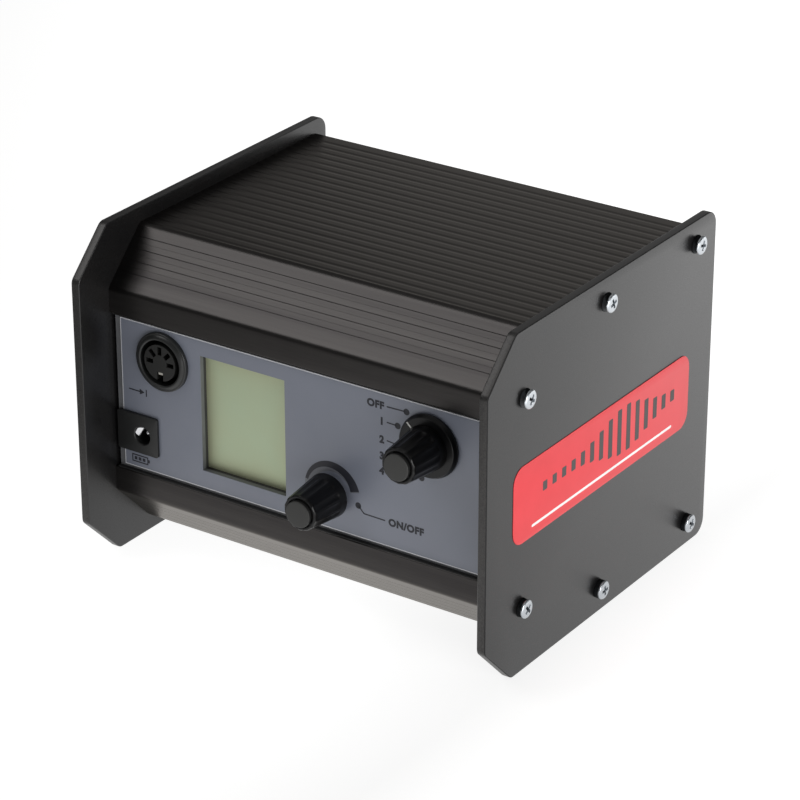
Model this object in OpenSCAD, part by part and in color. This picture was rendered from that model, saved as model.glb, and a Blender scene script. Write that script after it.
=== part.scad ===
// Portable stroboscope: two extruded shells held between two end plates, with a control panel
// at the front (-Y) and a light at the back (+Y). Origin under the middle, +Z up, millimetres.

/* [End plates] */
// Depth of an end plate, front edge to back edge
plate_depth = 130; // [112:1:170]
// Height of an end plate
plate_height = 112; // [104:1:150]
// Thickness of an end plate
plate_thick = 3; // [1.5:0.1:4]
// Leg of the two cut corners at the front
plate_chamfer = 14.7; // [6:0.1:20]
// Radius of the two corners at the back
plate_radius = 5; // [2:0.5:8]
// Radius of the four corners of the cuts
vertex_radius = 3; // [1:0.5:6]
// Plate showing past the shells at the top, the bottom and the back
plate_margin = 5; // [3:0.5:8]
// Plate showing past the nose of the shells at the front
plate_front_margin = 14; // [10:0.5:18]

/* [Shells] */
// Width of the shells, which is the distance between the end plates
shell_width = 145; // [132:1:180]
// Wall of the shells
shell_wall = 2.5; // [2:0.1:3]
// Leg of the sloping facet between the nose and the flat
nose_slope = 16.4; // [12:0.2:20]
// Radius of the softened edges of the facet
facet_radius = 3; // [1:0.5:5]
// Height of the opening for the control panel
panel_opening = 52.8; // [48:0.2:58]
// Height of the opening for the light
lamp_opening = 68; // [50:1:80]
// Lip in front of a sheet that slides in a groove
lip_thick = 1.5; // [1:0.1:2.5]
// Bar that holds the grooves, measured up from the lip's edge
bar_height = 4.5; // [3.5:0.1:6]
// Depth of the grooves for panel, window and heat sink
groove_depth = 2.2; // [1.5:0.1:3]
// Distance between the grooves of the ribbed flats
rib_pitch = 4.13; // [3:0.01:8]
// Depth of those grooves
rib_depth = 0.5; // [0.3:0.1:1]
// Distance between the fine grooves of the facets
facet_pitch = 2.05; // [1.5:0.05:4]
// Depth of the fine grooves
facet_depth = 0.2; // [0.1:0.05:0.6]
// How far the fine grooves sit above the facet's middle
facet_raise = 1; // [0:0.1:2]

/* [Plate screws] */
// Diameter of the screw shank
screw_d = 2.9; // [2.4:0.1:3.4]
// Length of the shank under the head
screw_length = 10; // [6:0.5:16]
// Diameter of the pan head
head_d = 6; // [5:0.1:7]
// Height of the pan head
head_height = 2.4; // [1.6:0.1:3]
// Wall of the screw channels in the shells
channel_wall = 1.7; // [1.2:0.1:2.2]
// Screws to the outer face of the flats
screw_inset = 3; // [2.6:0.1:4]
// Back screws to the back of the shells
back_screw_inset = 7; // [5:0.5:10]
// Back screws to middle screws
mid_screw_pitch = 53.5; // [40:0.5:60]
// Front screws to the nose
nose_screw_inset = 5.7; // [5:0.1:8]
// Front screws to the nose's upper edge
nose_screw_drop = 0.4; // [0:0.1:1.5]

/* [Front panel] */
// Thickness of the panel
panel_thick = 1.5; // [1:0.1:2.5]
// Thickness of the printed overlay
overlay_thick = 0.25; // [0.15:0.05:0.5]
// Gap between the panel's ends and the end plates
panel_end_gap = 1; // [0.1:0.1:2]
// Bare panel left at the ends of the overlay
overlay_end_margin = 2; // [1:0.1:4]
// Bare panel left above and below the overlay
overlay_edge_margin = 1.2; // [0.5:0.1:2]
// Height of the strips that seal the panel against the lips
seal_height = 0.3; // [0.2:0.1:0.8]
// Panel to control board
board_gap = 12; // [10:0.5:16]
// Thickness of the circuit boards
board_thick = 1.6; // [1:0.1:2.4]
// Height of the control board
board_height = 50; // [46:0.5:52]

/* [Display] */
// Width of the display window
lcd_width = 31.9; // [26:0.1:36]
// Height of the display window
lcd_height = 39; // [30:0.1:42]
// Window's middle to the left end of the shells
lcd_from_left = 49.7; // [48:0.1:51]
// Window's middle above the panel's middle
lcd_raise = 0.3; // [-1:0.1:1]
// Thickness of the display glass
lcd_glass_thick = 1.8; // [1:0.1:3]
// Glass hidden behind the window's edge
lcd_border = 1.5; // [1:0.1:2]
// Thickness of the gasket between panel and glass
lcd_gasket = 1.4; // [0.5:0.1:2.5]

/* [Input socket] */
// Diameter of the round socket's flange
din_flange_d = 19.5; // [18:0.1:22]
// Thickness of the flange
din_flange_thick = 2; // [0.8:0.1:3]
// Diameter of the socket's opening
din_opening_d = 15; // [14:0.1:15.8]
// Wall of the socket's sleeve
din_wall = 0.8; // [0.6:0.1:1]
// Length of the sleeve behind the panel
din_sleeve = 11; // [8:0.5:14]
// Diameter of the insulating core
din_core_d = 12; // [11:0.1:12.4]
// Diameter of the circle of contacts
din_contact_circle = 7; // [6:0.1:8]
// Flange to the left end of the shells
din_end_gap = 9.7; // [7:0.1:10]
// Flange to the upper lip
din_lip_gap = 2.4; // [1:0.1:3]

/* [Charge socket] */
// Width of the socket's front
jack_width = 15.7; // [13:0.1:17]
// Height of the socket's front
jack_height = 13.4; // [12:0.1:15]
// How far the front stands off the overlay
jack_proud = 1; // [0.6:0.1:2]
// Diameter of the plug's bore
jack_bore_d = 6; // [5.5:0.1:6.5]
// Diameter of the centre pin
jack_pin_d = 2.1; // [1.3:0.1:2.5]
// Bore's middle to the right of the front's middle
jack_bore_shift = 1.8; // [0:0.1:1.9]
// Bore's middle below the front's middle
jack_bore_drop = 0.4; // [0:0.1:0.9]
// Depth of the socket behind the panel
jack_depth = 12; // [10:0.5:16]
// Front to the left end of the shells
jack_end_gap = 1.2; // [0.6:0.1:2]
// Front to the lower lip
jack_lip_gap = 6.8; // [4:0.1:8]

/* [Knobs] */
// Diameter of a knob at its foot
knob_d = 14.5; // [13.5:0.1:16]
// Diameter of a knob at its front
knob_front_d = 11.6; // [11.2:0.1:13]
// Length of a knob with its cap
knob_length = 15.8; // [14:0.1:20]
// Number of flutes around a knob
flutes = 14; // [8:1:20]
// Depth of a flute
flute_depth = 0.45; // [0.2:0.05:0.5]
// Diameter of the cap in a knob's front
cap_d = 8.6; // [8.2:0.1:9.4]
// Thickness of the cap
cap_thick = 2.4; // [1.6:0.1:3.2]
// How far the cap stands out of a knob's front
cap_proud = 1.2; // [0.2:0.1:1.3]
// Diameter of the control shafts
shaft_d = 6; // [5:0.1:6.2]

/* [Selector] */
// Diameter of the pointer disc under the selector knob
skirt_d = 20.4; // [18:0.1:24]
// Thickness of the pointer disc
skirt_thick = 2.1; // [1.5:0.1:3]
// Pointer disc to the overlay
skirt_gap = 0.35; // [0.3:0.05:1]
// Pointer disc to the upper lip
skirt_lip_gap = 3.45; // [2:0.05:5]
// Selector's axis to the left end of the shells
selector_from_left = 118.4; // [116:0.1:120]
// Direction of the pointer, counted from the right
pointer_angle = 135; // [0:1:359]
// Side of the square switch body
switch_size = 20; // [19:0.5:22]

/* [Encoder] */
// Knob's foot to the overlay
encoder_gap = 2.4; // [1.5:0.05:3]
// Travel of the push
push_travel = 0.5; // [0.3:0.05:0.6]
// Knob's foot to the lower lip
encoder_lip_gap = 6.4; // [4:0.1:8]
// Encoder's axis to the left end of the shells
encoder_from_left = 83; // [81:0.1:86]
// Side of the square encoder body
encoder_size = 12; // [11.6:0.1:14]

/* [Light] */
// Thickness of the clear window
window_thick = 3; // [2:0.1:4]
// Depth of the reflector cups
lens_depth = 12; // [8:0.5:16]
// Least distance between two lamps
led_pitch = 22; // [16:0.5:30]
// Side of a lamp's square base
led_size = 5; // [3:0.1:6]
// Plate of the heat sink
sink_thick = 3; // [2:0.1:5]
// Depth of the cooling fins
fin_depth = 12; // [6:0.5:15]
// Distance between the fins
fin_pitch = 9; // [6:0.5:15]
// Thickness of a fin
fin_thick = 1.5; // [1:0.1:2]
// Width of the holder for pointer laser and light sensor
sensor_width = 30; // [24:1:36]
// Diameter of the pointer laser
laser_d = 6.4; // [5:0.1:8]
// Diameter of the light sensor
sensor_d = 9.8; // [6:0.1:12]

/* [Battery and driver] */
// Diameter of a cell
cell_d = 14.5; // [10:0.1:18]
// Length of a cell
cell_length = 50; // [40:0.5:55]
// Base and walls of the battery tray
tray_wall = 1.5; // [1:0.1:2.5]
// Ledge of the tray outside its walls
tray_ledge = 4; // [3:0.1:6]
// End of the tray that carries the driver board's pillars
tray_end = 12; // [8:0.5:14]
// Width of the straps over the cells
strap_width = 12; // [8:0.5:20]
// Thickness of the straps
strap_thick = 0.8; // [0.5:0.1:1.5]
// Diameter of the capacitors
capacitor_d = 10; // [6:0.5:14]
// Height of the capacitors
capacitor_height = 16; // [10:0.5:25]
// Width of the ribbon cable
ribbon_width = 25; // [12:1:30]
// Thickness of the ribbon cable
ribbon_thick = 0.8; // [0.5:0.1:1.2]
// Radius of the ribbon's bend
ribbon_bend = 8; // [5:0.5:12]

/* [Tripod bush] */
// Diameter of the bush in the wall
bush_d = 9; // [8:0.1:11]
// Diameter of its flange
bush_flange_d = 13; // [12:0.1:16]
// Length of the thread
bush_length = 6; // [5:0.1:9]
// Bore of the 1/4 inch camera thread
bush_bore_d = 5.1; // [4.8:0.01:6.4]

/* [Side label] */
// Length of the label on the right end plate
label_length = 102; // [60:1:110]
// Height of the label
label_height = 25.2; // [15:0.1:40]
// Radius of its corners
label_radius = 5; // [1:0.5:7]
// Thickness of the label
label_thick = 0.2; // [0.1:0.05:0.5]

/* [Clearances] */
// Sheet in its groove
slide_gap = 0.1; // [0.05:0.05:0.2]
// Piece pushed into its seat
push_gap = 0.05; // [0.02:0.01:0.08]
// Shaft in its bearing
run_gap = 0.05; // [0.02:0.01:0.09]
// Shank in a plain hole
hole_gap = 0.25; // [0.1:0.05:0.5]
// Room around loosely placed and around moving pieces
free_gap = 0.3; // [0.25:0.05:0.5]

/* [Hidden] */
$fn = 48;
// Overlap of a cutter past the face that it cuts
cut = 1;

black = [0.07, 0.07, 0.075];
dark = [0.16, 0.16, 0.16];
bronze = [0.26, 0.25, 0.24];
grey = [0.34, 0.34, 0.34];
zinc = [0.78, 0.79, 0.80];
copper = [0.72, 0.52, 0.22];
board_green = [0.07, 0.28, 0.16];

// Knob fronts stand past the plates, and the whole depth is centred on the origin
selector_front = overlay_thick + skirt_gap + skirt_thick + knob_length;
encoder_front = overlay_thick + encoder_gap + knob_length;
knob_reach = max(selector_front, encoder_front) - slide_gap - lip_thick;
knob_overhang = max(0, knob_reach - plate_front_margin);
plate_back_y = (plate_depth + knob_overhang) / 2;
plate_front_y = plate_back_y - plate_depth;
nose_y = plate_front_y + plate_front_margin;
back_y = plate_back_y - plate_margin;
mid_z = plate_height / 2;
half_height = mid_z - plate_margin;
half_width = shell_width / 2;

// Panel and what stands behind it
panel_y = nose_y + lip_thick + slide_gap;
panel_back_y = panel_y + panel_thick;
panel_width = shell_width - 2 * panel_end_gap;
panel_height = panel_opening + 2 * (groove_depth - slide_gap);
board_y = panel_back_y + board_gap;
board_back_y = board_y + board_thick;
glass_y = panel_back_y + lcd_gasket;
lip_z = panel_opening / 2;
front_bar = lip_thick + panel_thick + 2 * slide_gap + shell_wall;

// Light, from the window inwards
window_y = back_y - lip_thick - slide_gap - window_thick;
lens_y = window_y - slide_gap - lens_depth;
led_board_y = lens_y - board_thick;
sink_y = led_board_y - sink_thick;
fin_y = sink_y - fin_depth;
lamp_z = lamp_opening / 2;
rear_bar = back_y - sink_y + slide_gap + shell_wall;
lamp_width = shell_width - 2 * slide_gap;
lamp_sheet_height = lamp_opening + 2 * (groove_depth - slide_gap);
lens_height = lamp_opening - 4 * slide_gap;
lens_width = lamp_width - sensor_width - free_gap;
lens_x = -(lamp_width - lens_width) / 2;
sensor_x = (lamp_width - sensor_width) / 2;
led_columns = floor(lens_width / led_pitch);
led_rows = floor(lens_height / led_pitch);
led_step_x = lens_width / led_columns;
led_step_z = lens_height / led_rows;
lens_web = 1;
cup_d = min(led_step_x, led_step_z) - lens_web;
cup_foot_d = led_size * sqrt(2) + 4 * free_gap;
laser_length = lens_depth;
sensor_length = lens_depth - 2;

// Screw channels of the upper shell, seen from the end
channel_d = screw_d + 2 * push_gap;
boss_d = channel_d + 2 * channel_wall;
screw_points = [
    [back_y - back_screw_inset, half_height - screw_inset],
    [back_y - back_screw_inset - mid_screw_pitch, half_height - screw_inset],
    [nose_y + nose_screw_inset, half_height - nose_slope - nose_screw_drop]
];
// A pan head's dome radius, and its cross recess, as shares of the head's diameter
dome_share = 1.3;
recess_share = 0.55;
slot_share = 0.14;

// Ribs and fine grooves
facet_corner = facet_radius * tan(22.5);
rib_first_y = back_y - plate_margin - cut;
rib_last_y = nose_y + nose_slope + facet_corner;
rib_count = floor((rib_first_y - rib_last_y) / rib_pitch) + 1;
facet_length = nose_slope * sqrt(2);
facet_grooves = floor((facet_length - 8 * facet_corner) / facet_pitch) + 1;

// Places of the controls on the panel, from its middle
lcd_x = lcd_from_left - half_width;
din_x = din_end_gap + din_flange_d / 2 - half_width;
din_z = lip_z - din_lip_gap - din_flange_d / 2;
jack_x = jack_end_gap + jack_width / 2 - half_width;
jack_z = jack_lip_gap + jack_height / 2 - lip_z;
bore_x = jack_x + jack_bore_shift;
bore_z = jack_z - jack_bore_drop;
selector_x = selector_from_left - half_width;
selector_z = lip_z - skirt_lip_gap - skirt_d / 2;
encoder_x = encoder_from_left - half_width;
encoder_z = encoder_lip_gap + knob_d / 2 - lip_z;

// Input socket
din_sleeve_d = din_opening_d + 2 * din_wall;
din_front = overlay_thick + din_flange_thick;
din_core_front = din_front - free_gap;
din_base_thick = 4;
din_key_width = 2.4;
din_key_start = 3.2;
din_tab_thick = 0.8;
din_nut_d = 19.4;
din_nut_thick = 2.5;
din_slot_start = din_contact_circle / 2 - 0.9;
din_slot_end = din_contact_circle / 2 + 1.8;
din_slot_width = 1.5;
din_strip_thick = 0.9;
din_contact_drop = 1.5;
din_contact_tail = 4;

// Charge socket
jack_wall = 2.5;
jack_body_width = jack_bore_d + 2 * jack_wall;
jack_body_height = jack_height - jack_wall;
jack_floor = 2;
jack_bore_depth = jack_depth + panel_thick + overlay_thick + jack_proud - jack_floor;
jack_pin_drop = 2.5;
spring_thick = 0.3;
spring_width = 2.8;
spring_length = 3;
spring_reach = 1;
spring_drop = 0.3;
spring_angle = 150;
tag_size = [2.5, 5, 0.5];

// Inside a knob, counted from its foot
grip_length = knob_length - cap_proud;
knob_rim = 3;
bush_room = 3;
collet_d = cap_d - 1;
collet_length = knob_length - cap_thick - bush_room - 1;
flute_d = 1.6;
flute_lean = 0.8 * atan((knob_d - knob_front_d) / 2 / grip_length);

// Switch and encoder, heights counted from the panel's face towards the front
bearing_d = shaft_d + 2 * run_gap;
bearing_wall = 1.25;
neck_d = bearing_d + 2 * bearing_wall;
neck_front = overlay_thick + 1.5;
knob_room_d = neck_d + 4 * free_gap;
body_back = -(panel_thick + board_gap);
body_front = -(panel_thick + 2);
body_wall = 1.5;
room_front = body_front - body_wall;
room_back = body_back + body_wall;
rotor_d = switch_size - 2 * body_wall - 1;
rotor_thick = 3;
collar_d = encoder_size - 2 * body_wall - 1;
collar_thick = 1.5;
plunger_thick = 1.5;
plunger_tip_d = 2.4;
pointer_width = 0.5;
pointer_height = 0.1;

// Control board, its studs and screws
stud_d = 4.2;
stud_x = [
    (lcd_x + lcd_width / 2 + lcd_border + encoder_x - encoder_size / 2) / 2,
    (encoder_x + encoder_size / 2 + selector_x - switch_size / 2) / 2
];
stud_z = board_height / 2 - stud_d;
small_screw_d = 2;
small_head_d = 4;
small_head_height = 1.4;
small_screw_length = 5;
control_left = lcd_x - lcd_width / 2 - lcd_border;
control_right = selector_x + switch_size / 2 + free_gap;

// Battery tray on the floor of the lower shell
floor_z = plate_margin + shell_wall;
tray_lift = max(screw_inset + boss_d / 2, bush_length) - shell_wall + free_gap;
tray_z = floor_z + tray_lift;
tray_top_z = tray_z + tray_wall;
tray_room = fin_y - board_back_y - 4;
tray_y = (fin_y + board_back_y) / 2;
cell_step = cell_d + free_gap;
cell_pitch = cell_length + free_gap;
cell_rows = floor((tray_room - 2 * tray_ledge - 2 * tray_wall - free_gap) / cell_step);
cell_columns = floor((shell_width - 2 * tray_end - 4) / cell_pitch);
cells_depth = cell_rows * cell_step + free_gap;
cells_length = cell_columns * cell_pitch;
tray_depth = cells_depth + 2 * tray_wall + 2 * tray_ledge;
tray_length = cells_length + 2 * tray_end;
tray_wall_height = cell_d / 2;
runner_width = 3;
terminal_d = 0.38 * cell_d;
terminal_height = 1.2;

// Driver board above the cells
pillar_d = 5;
pillar_x = tray_length / 2 - tray_end / 2;
pillar_y = tray_depth / 2 - pillar_d;
driver_z = tray_top_z + cell_d + strap_thick + 4;
driver_top_z = driver_z + board_thick;
capacitor_step = capacitor_d + 4;
inductor_ring_d = 14;
inductor_wire_d = 6;

// Ribbon cable from the control board back and down to the driver board
header_height = 6;
header_depth = 5;
ribbon_x = (stud_x[0] + stud_x[1]) / 2;
ribbon_start_y = board_back_y + header_depth;
ribbon_turn_y = ribbon_start_y + 2;
ribbon_end_y = ribbon_turn_y + ribbon_bend;
ribbon_foot_z = driver_top_z + header_height;
ribbon_turn_z = ribbon_foot_z + 4;
ribbon_top_z = ribbon_turn_z + ribbon_bend;

// Tripod bush beside the middle screw channel
bush_y = screw_points[1].x + boss_d / 2 + bush_flange_d / 2 + free_gap;
bush_flange_thick = 1.5;

// Unit vector along v
function unit(v) = v / norm(v);

// Arc of radius r that rounds corner b between its neighbours a and c
function rounding(a, b, c, r, steps = 8) =
    let (
        u = unit(a - b),
        v = unit(c - b),
        half = acos(u * v) / 2,
        centre = b + unit(u + v) * r / sin(half),
        first = b + u * r / tan(half) - centre,
        last = b + v * r / tan(half) - centre,
        start = atan2(first.y, first.x),
        sweep = (atan2(last.y, last.x) - start + 540) % 360 - 180
    )
    [for (i = [0 : steps]) centre + r * [cos(start + sweep * i / steps), sin(start + sweep * i / steps)]];

// Outline whose corners are rounded by the radii given, 0 for a sharp corner
function softened(points, radii) =
    let (n = len(points))
    [
        for (i = [0 : n - 1])
            each radii[i] > 0
                ? rounding(points[(i + n - 1) % n], points[i], points[(i + 1) % n], radii[i])
                : [points[i]]
    ];

// Extrudes an outline drawn in Y and Z along X, centred
module along_x(length) {
    rotate([90, 0, 90])
        linear_extrude(length, center = true)
            children();
}

// Places a control on the panel: its own Z points to the front, 0 is the panel's face
module on_panel(x, z) {
    translate([x, panel_y, mid_z + z])
        rotate([90, 0, 0])
            children();
}

// Box centred in X and Z on a point, from y to y + depth
module sheet(x, y, z, width, depth, height) {
    translate([x - width / 2, y, z - height / 2])
        cube([width, depth, height]);
}

// Disc or rod between two heights
module rod(d, low, high) {
    translate([0, 0, low])
        cylinder(d = d, h = high - low);
}

// Half of the shells' outer outline, from the middle up
module half_outline() {
    polygon(softened(
        [
            [nose_y, 0],
            [nose_y, half_height - nose_slope],
            [nose_y + nose_slope, half_height],
            [back_y, half_height],
            [back_y, 0]
        ],
        [0, facet_radius, facet_radius, shell_wall / 2, 0]
    ));
}

// The hollow inside it
module half_hollow() {
    step = shell_wall * (sqrt(2) - 1);
    polygon([
        [nose_y + shell_wall, -cut],
        [nose_y + shell_wall, half_height - nose_slope - step],
        [nose_y + nose_slope + step, half_height - shell_wall],
        [back_y - shell_wall, half_height - shell_wall],
        [back_y - shell_wall, -cut]
    ]);
}

// Groove between y and y + width, open towards the middle
module groove(y, width, edge_z) {
    translate([y - slide_gap, edge_z - cut])
        square([width + 2 * slide_gap, groove_depth + cut]);
}

// Walls of a shell, drawn as the upper one
module shell_walls() {
    difference() {
        half_outline();
        half_hollow();
    }
}

// What stays within the outline, extruded over the shell's width
module shell_bar() {
    along_x(shell_width)
        intersection() {
            half_outline();
            children();
        }
}

// Openings, grooves, screw channels and ribs of a shell
module shell_cuts() {
    translate([nose_y - cut, -cut])
        square([front_bar + cut, lip_z + cut]);
    translate([back_y - rear_bar, -cut])
        square([rear_bar + cut, lamp_z + cut]);
    groove(panel_y, panel_thick, lip_z);
    groove(window_y, window_thick, lamp_z);
    groove(sink_y, sink_thick, lamp_z);
    for (p = screw_points)
        translate(p)
            circle(d = channel_d);
    for (i = [0 : rib_count - 1])
        translate([rib_first_y - i * rib_pitch, half_height])
            circle(r = rib_depth);
    for (i = [0 : facet_grooves - 1])
        let (s = (facet_length + 2 * facet_raise + (2 * i - facet_grooves + 1) * facet_pitch) / sqrt(8))
            translate([nose_y + s, half_height - nose_slope + s])
                square(facet_depth * sqrt(2), center = true);
}

// One extruded shell, as the upper one, on the middle plane
module shell() {
    difference() {
        union() {
            along_x(shell_width)
                shell_walls();
            shell_bar()
                translate([nose_y, lip_z])
                    square([front_bar, bar_height]);
            shell_bar()
                translate([back_y - rear_bar, lamp_z])
                    square([rear_bar, bar_height]);
            for (p = screw_points)
                shell_bar()
                    translate(p)
                        circle(d = boss_d);
        }
        along_x(shell_width + 2 * cut)
            shell_cuts();
    }
}

module upper_shell() {
    color(bronze)
        translate([0, 0, mid_z])
            shell();
}

module lower_shell() {
    color(bronze)
        difference() {
            translate([0, 0, mid_z])
                mirror([0, 0, 1])
                    shell();
            translate([0, bush_y, 0])
                rod(bush_d + 2 * push_gap, plate_margin - cut, floor_z + cut);
        }
}

// End plate with its inner face at x = 0 and its outer face at x = plate_thick
module end_plate() {
    rotate([90, 0, 90])
        linear_extrude(plate_thick)
            difference() {
                polygon(softened(
                    [
                        [plate_front_y, plate_chamfer],
                        [plate_front_y, plate_height - plate_chamfer],
                        [plate_front_y + plate_chamfer, plate_height],
                        [plate_back_y, plate_height],
                        [plate_back_y, 0],
                        [plate_front_y + plate_chamfer, 0]
                    ],
                    [
                        vertex_radius, vertex_radius, vertex_radius,
                        plate_radius, plate_radius, vertex_radius
                    ]
                ));
                for (p = screw_points, side = [-1, 1])
                    translate([p.x, mid_z + side * p.y])
                        circle(d = screw_d + 2 * hole_gap);
            }
}

module right_end_plate() {
    color(black)
        translate([half_width, 0, 0])
            end_plate();
}

module left_end_plate() {
    color(black)
        mirror([1, 0, 0])
            translate([half_width, 0, 0])
                end_plate();
}

// Pan head screw with a cross recess, head seated at z = 0 and shank pointing down
module pan_screw(d, length, width, height) {
    dome = dome_share * width;
    difference() {
        intersection() {
            rod(width, 0, height);
            translate([0, 0, height - dome])
                sphere(r = dome);
        }
        for (turn = [0, 90])
            rotate(turn)
                translate([0, 0, height])
                    cube([recess_share * width, slot_share * width, height], center = true);
    }
    rod(d, -length, 0.2 * height);
}

// The six screws of the right end plate
module plate_screws() {
    for (p = screw_points, side = [-1, 1])
        translate([half_width + plate_thick, p.x, mid_z + side * p.y])
            rotate([0, 90, 0])
                rotate(side * 20)
                    pan_screw(screw_d, screw_length, head_d, head_height);
}

module right_plate_screws() {
    color(zinc)
        plate_screws();
}

module left_plate_screws() {
    color(zinc)
        mirror([1, 0, 0])
            plate_screws();
}

module side_label() {
    y = plate_front_y + plate_depth / 2;
    corner = [label_length, label_height] / 2;
    color([0.86, 0.13, 0.15])
        translate([half_width + plate_thick, y, mid_z])
            rotate([90, 0, 90])
                linear_extrude(label_thick)
                    polygon(softened(
                        [-corner, [corner.x, -corner.y], corner, [-corner.x, corner.y]],
                        [for (i = [0 : 3]) label_radius]
                    ));
}

// What passes through panel and overlay: window, sockets and control necks
module panel_cuts(depth) {
    sheet(lcd_x, panel_y - depth, mid_z + lcd_raise, lcd_width, 2 * depth, lcd_height);
    on_panel(din_x, din_z)
        rod(din_sleeve_d + 2 * hole_gap, -depth, depth);
    sheet(bore_x, panel_y - depth, mid_z + bore_z,
        jack_body_width + 2 * hole_gap, 2 * depth, jack_body_height + 2 * hole_gap);
    on_panel(selector_x, selector_z)
        rod(neck_d + 2 * hole_gap, -depth, depth);
    on_panel(encoder_x, encoder_z)
        rod(neck_d + 2 * hole_gap, -depth, depth);
}

module front_panel() {
    color([0.72, 0.73, 0.75])
        difference() {
            sheet(0, panel_y, mid_z, panel_width, panel_thick, panel_height);
            panel_cuts(panel_thick + cut);
        }
}

module panel_overlay() {
    width = panel_width - 2 * overlay_end_margin;
    height = panel_opening - 2 * overlay_edge_margin;
    color([0.45, 0.47, 0.53])
        difference() {
            sheet(0, panel_y - overlay_thick, mid_z, width, overlay_thick, height);
            panel_cuts(overlay_thick + cut);
        }
}

// Strips that seal the panel's face against the upper and the lower lip
module panel_seals() {
    inset = 2 * slide_gap;
    color(black)
        for (side = [-1, 1])
            sheet(0, nose_y + inset, mid_z + side * (lip_z - seal_height / 2),
                panel_width, panel_y - nose_y - inset, seal_height);
}

// Puts its children on the four studs of the control board
module at_studs() {
    for (x = stud_x, z = [-stud_z, stud_z])
        translate([x, board_y, mid_z + z])
            rotate([-90, 0, 0])
                children();
}

module panel_studs() {
    color(zinc)
        at_studs()
            difference() {
                rod(stud_d, -board_gap, 0);
                rod(small_screw_d + 2 * push_gap, -small_screw_length - cut, cut);
            }
}

module control_board() {
    width = control_right - control_left;
    color(board_green)
        difference() {
            sheet(control_left + width / 2, board_y, mid_z, width, board_thick, board_height);
            at_studs()
                rod(small_screw_d + 2 * hole_gap, -cut, board_thick + cut);
        }
}

module control_board_screws() {
    color(zinc)
        at_studs()
            translate([0, 0, board_thick])
                pan_screw(small_screw_d, small_screw_length, small_head_d, small_head_height);
}

// Frame that seals the glass against the back of the panel
module display_gasket() {
    color(black)
        difference() {
            sheet(lcd_x, panel_back_y, mid_z + lcd_raise, lcd_width + 2 * lcd_border,
                lcd_gasket, lcd_height + 2 * lcd_border);
            sheet(lcd_x, panel_back_y - cut, mid_z + lcd_raise, lcd_width + 2 * slide_gap,
                lcd_gasket + 2 * cut, lcd_height + 2 * slide_gap);
        }
}

module display_glass() {
    color([0.62, 0.68, 0.52])
        sheet(lcd_x, glass_y, mid_z + lcd_raise, lcd_width + 2 * lcd_border,
            lcd_glass_thick, lcd_height + 2 * lcd_border);
}

module display_backlight() {
    y = glass_y + lcd_glass_thick;
    color([0.88, 0.88, 0.86])
        sheet(lcd_x, y, mid_z + lcd_raise,
            lcd_width + 2 * lcd_border, board_y - y, lcd_height + 2 * lcd_border);
}

// Angles of the five contacts of the round socket, half a turn over the top
contact_angles = [0 : 45 : 180];

// Flange and sleeve of the round socket, with a floor that holds the core
module input_socket_shell() {
    back = -panel_thick - din_sleeve;
    color(dark)
        on_panel(din_x, din_z)
            difference() {
                union() {
                    rod(din_flange_d, overlay_thick, din_front);
                    rod(din_sleeve_d, back, din_front);
                }
                rod(din_opening_d, back + din_base_thick, din_front + cut);
                rod(din_core_d + 2 * push_gap, back - cut, din_front);
            }
}

// Insulating core with a slot for each contact and one for the plug's key
module input_socket_core() {
    back = -panel_thick - din_sleeve;
    color(grey)
        on_panel(din_x, din_z)
            difference() {
                rod(din_core_d, back, din_core_front);
                for (angle = contact_angles)
                    rotate(angle)
                        translate([din_slot_start, -din_slot_width / 2, back - cut])
                            cube([din_slot_end - din_slot_start, din_slot_width, board_gap + din_sleeve]);
                translate([-din_key_width / 2, -din_core_d, back + din_base_thick])
                    cube([din_key_width, din_core_d - din_key_start, board_gap + din_sleeve]);
            }
}

module input_socket_contacts() {
    back = -panel_thick - din_sleeve - din_contact_tail;
    front = din_core_front - din_contact_drop;
    strip = din_slot_width - 2 * push_gap;
    foot = -panel_thick - din_sleeve + din_base_thick;
    color(copper)
        on_panel(din_x, din_z) {
            for (angle = contact_angles)
                rotate(angle)
                    translate([din_slot_end - push_gap - din_strip_thick, -strip / 2, back])
                        cube([din_strip_thick, strip, front - back]);
            translate([-din_tab_thick, -din_key_start - din_tab_thick - push_gap, foot])
                cube([2 * din_tab_thick, din_tab_thick, din_core_front - free_gap - foot]);
        }
}

module input_socket_nut() {
    color(zinc)
        on_panel(din_x, din_z)
            difference() {
                rod(din_nut_d, -panel_thick - din_nut_thick, -panel_thick);
                rod(din_sleeve_d + 2 * push_gap, -panel_thick - din_nut_thick - cut, cut);
            }
}

module charge_socket_body() {
    front = overlay_thick + jack_proud;
    back = -panel_thick - jack_depth;
    color(black)
        difference() {
            union() {
                sheet(jack_x, panel_y - front, mid_z + jack_z, jack_width, jack_proud, jack_height);
                sheet(bore_x, panel_y - front, mid_z + bore_z,
                    jack_body_width, front - back, jack_body_height);
            }
            on_panel(bore_x, bore_z) {
                rod(jack_bore_d, front - jack_bore_depth, front + cut);
                rod(jack_pin_d + 2 * push_gap, back - cut, front);
            }
        }
}

module charge_socket_pin() {
    front = overlay_thick + jack_proud - jack_pin_drop;
    color(zinc)
        on_panel(bore_x, bore_z) {
            rod(jack_pin_d, -panel_thick - jack_depth, front - jack_pin_d / 2);
            translate([0, 0, front - jack_pin_d / 2])
                sphere(d = jack_pin_d);
        }
}

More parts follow.
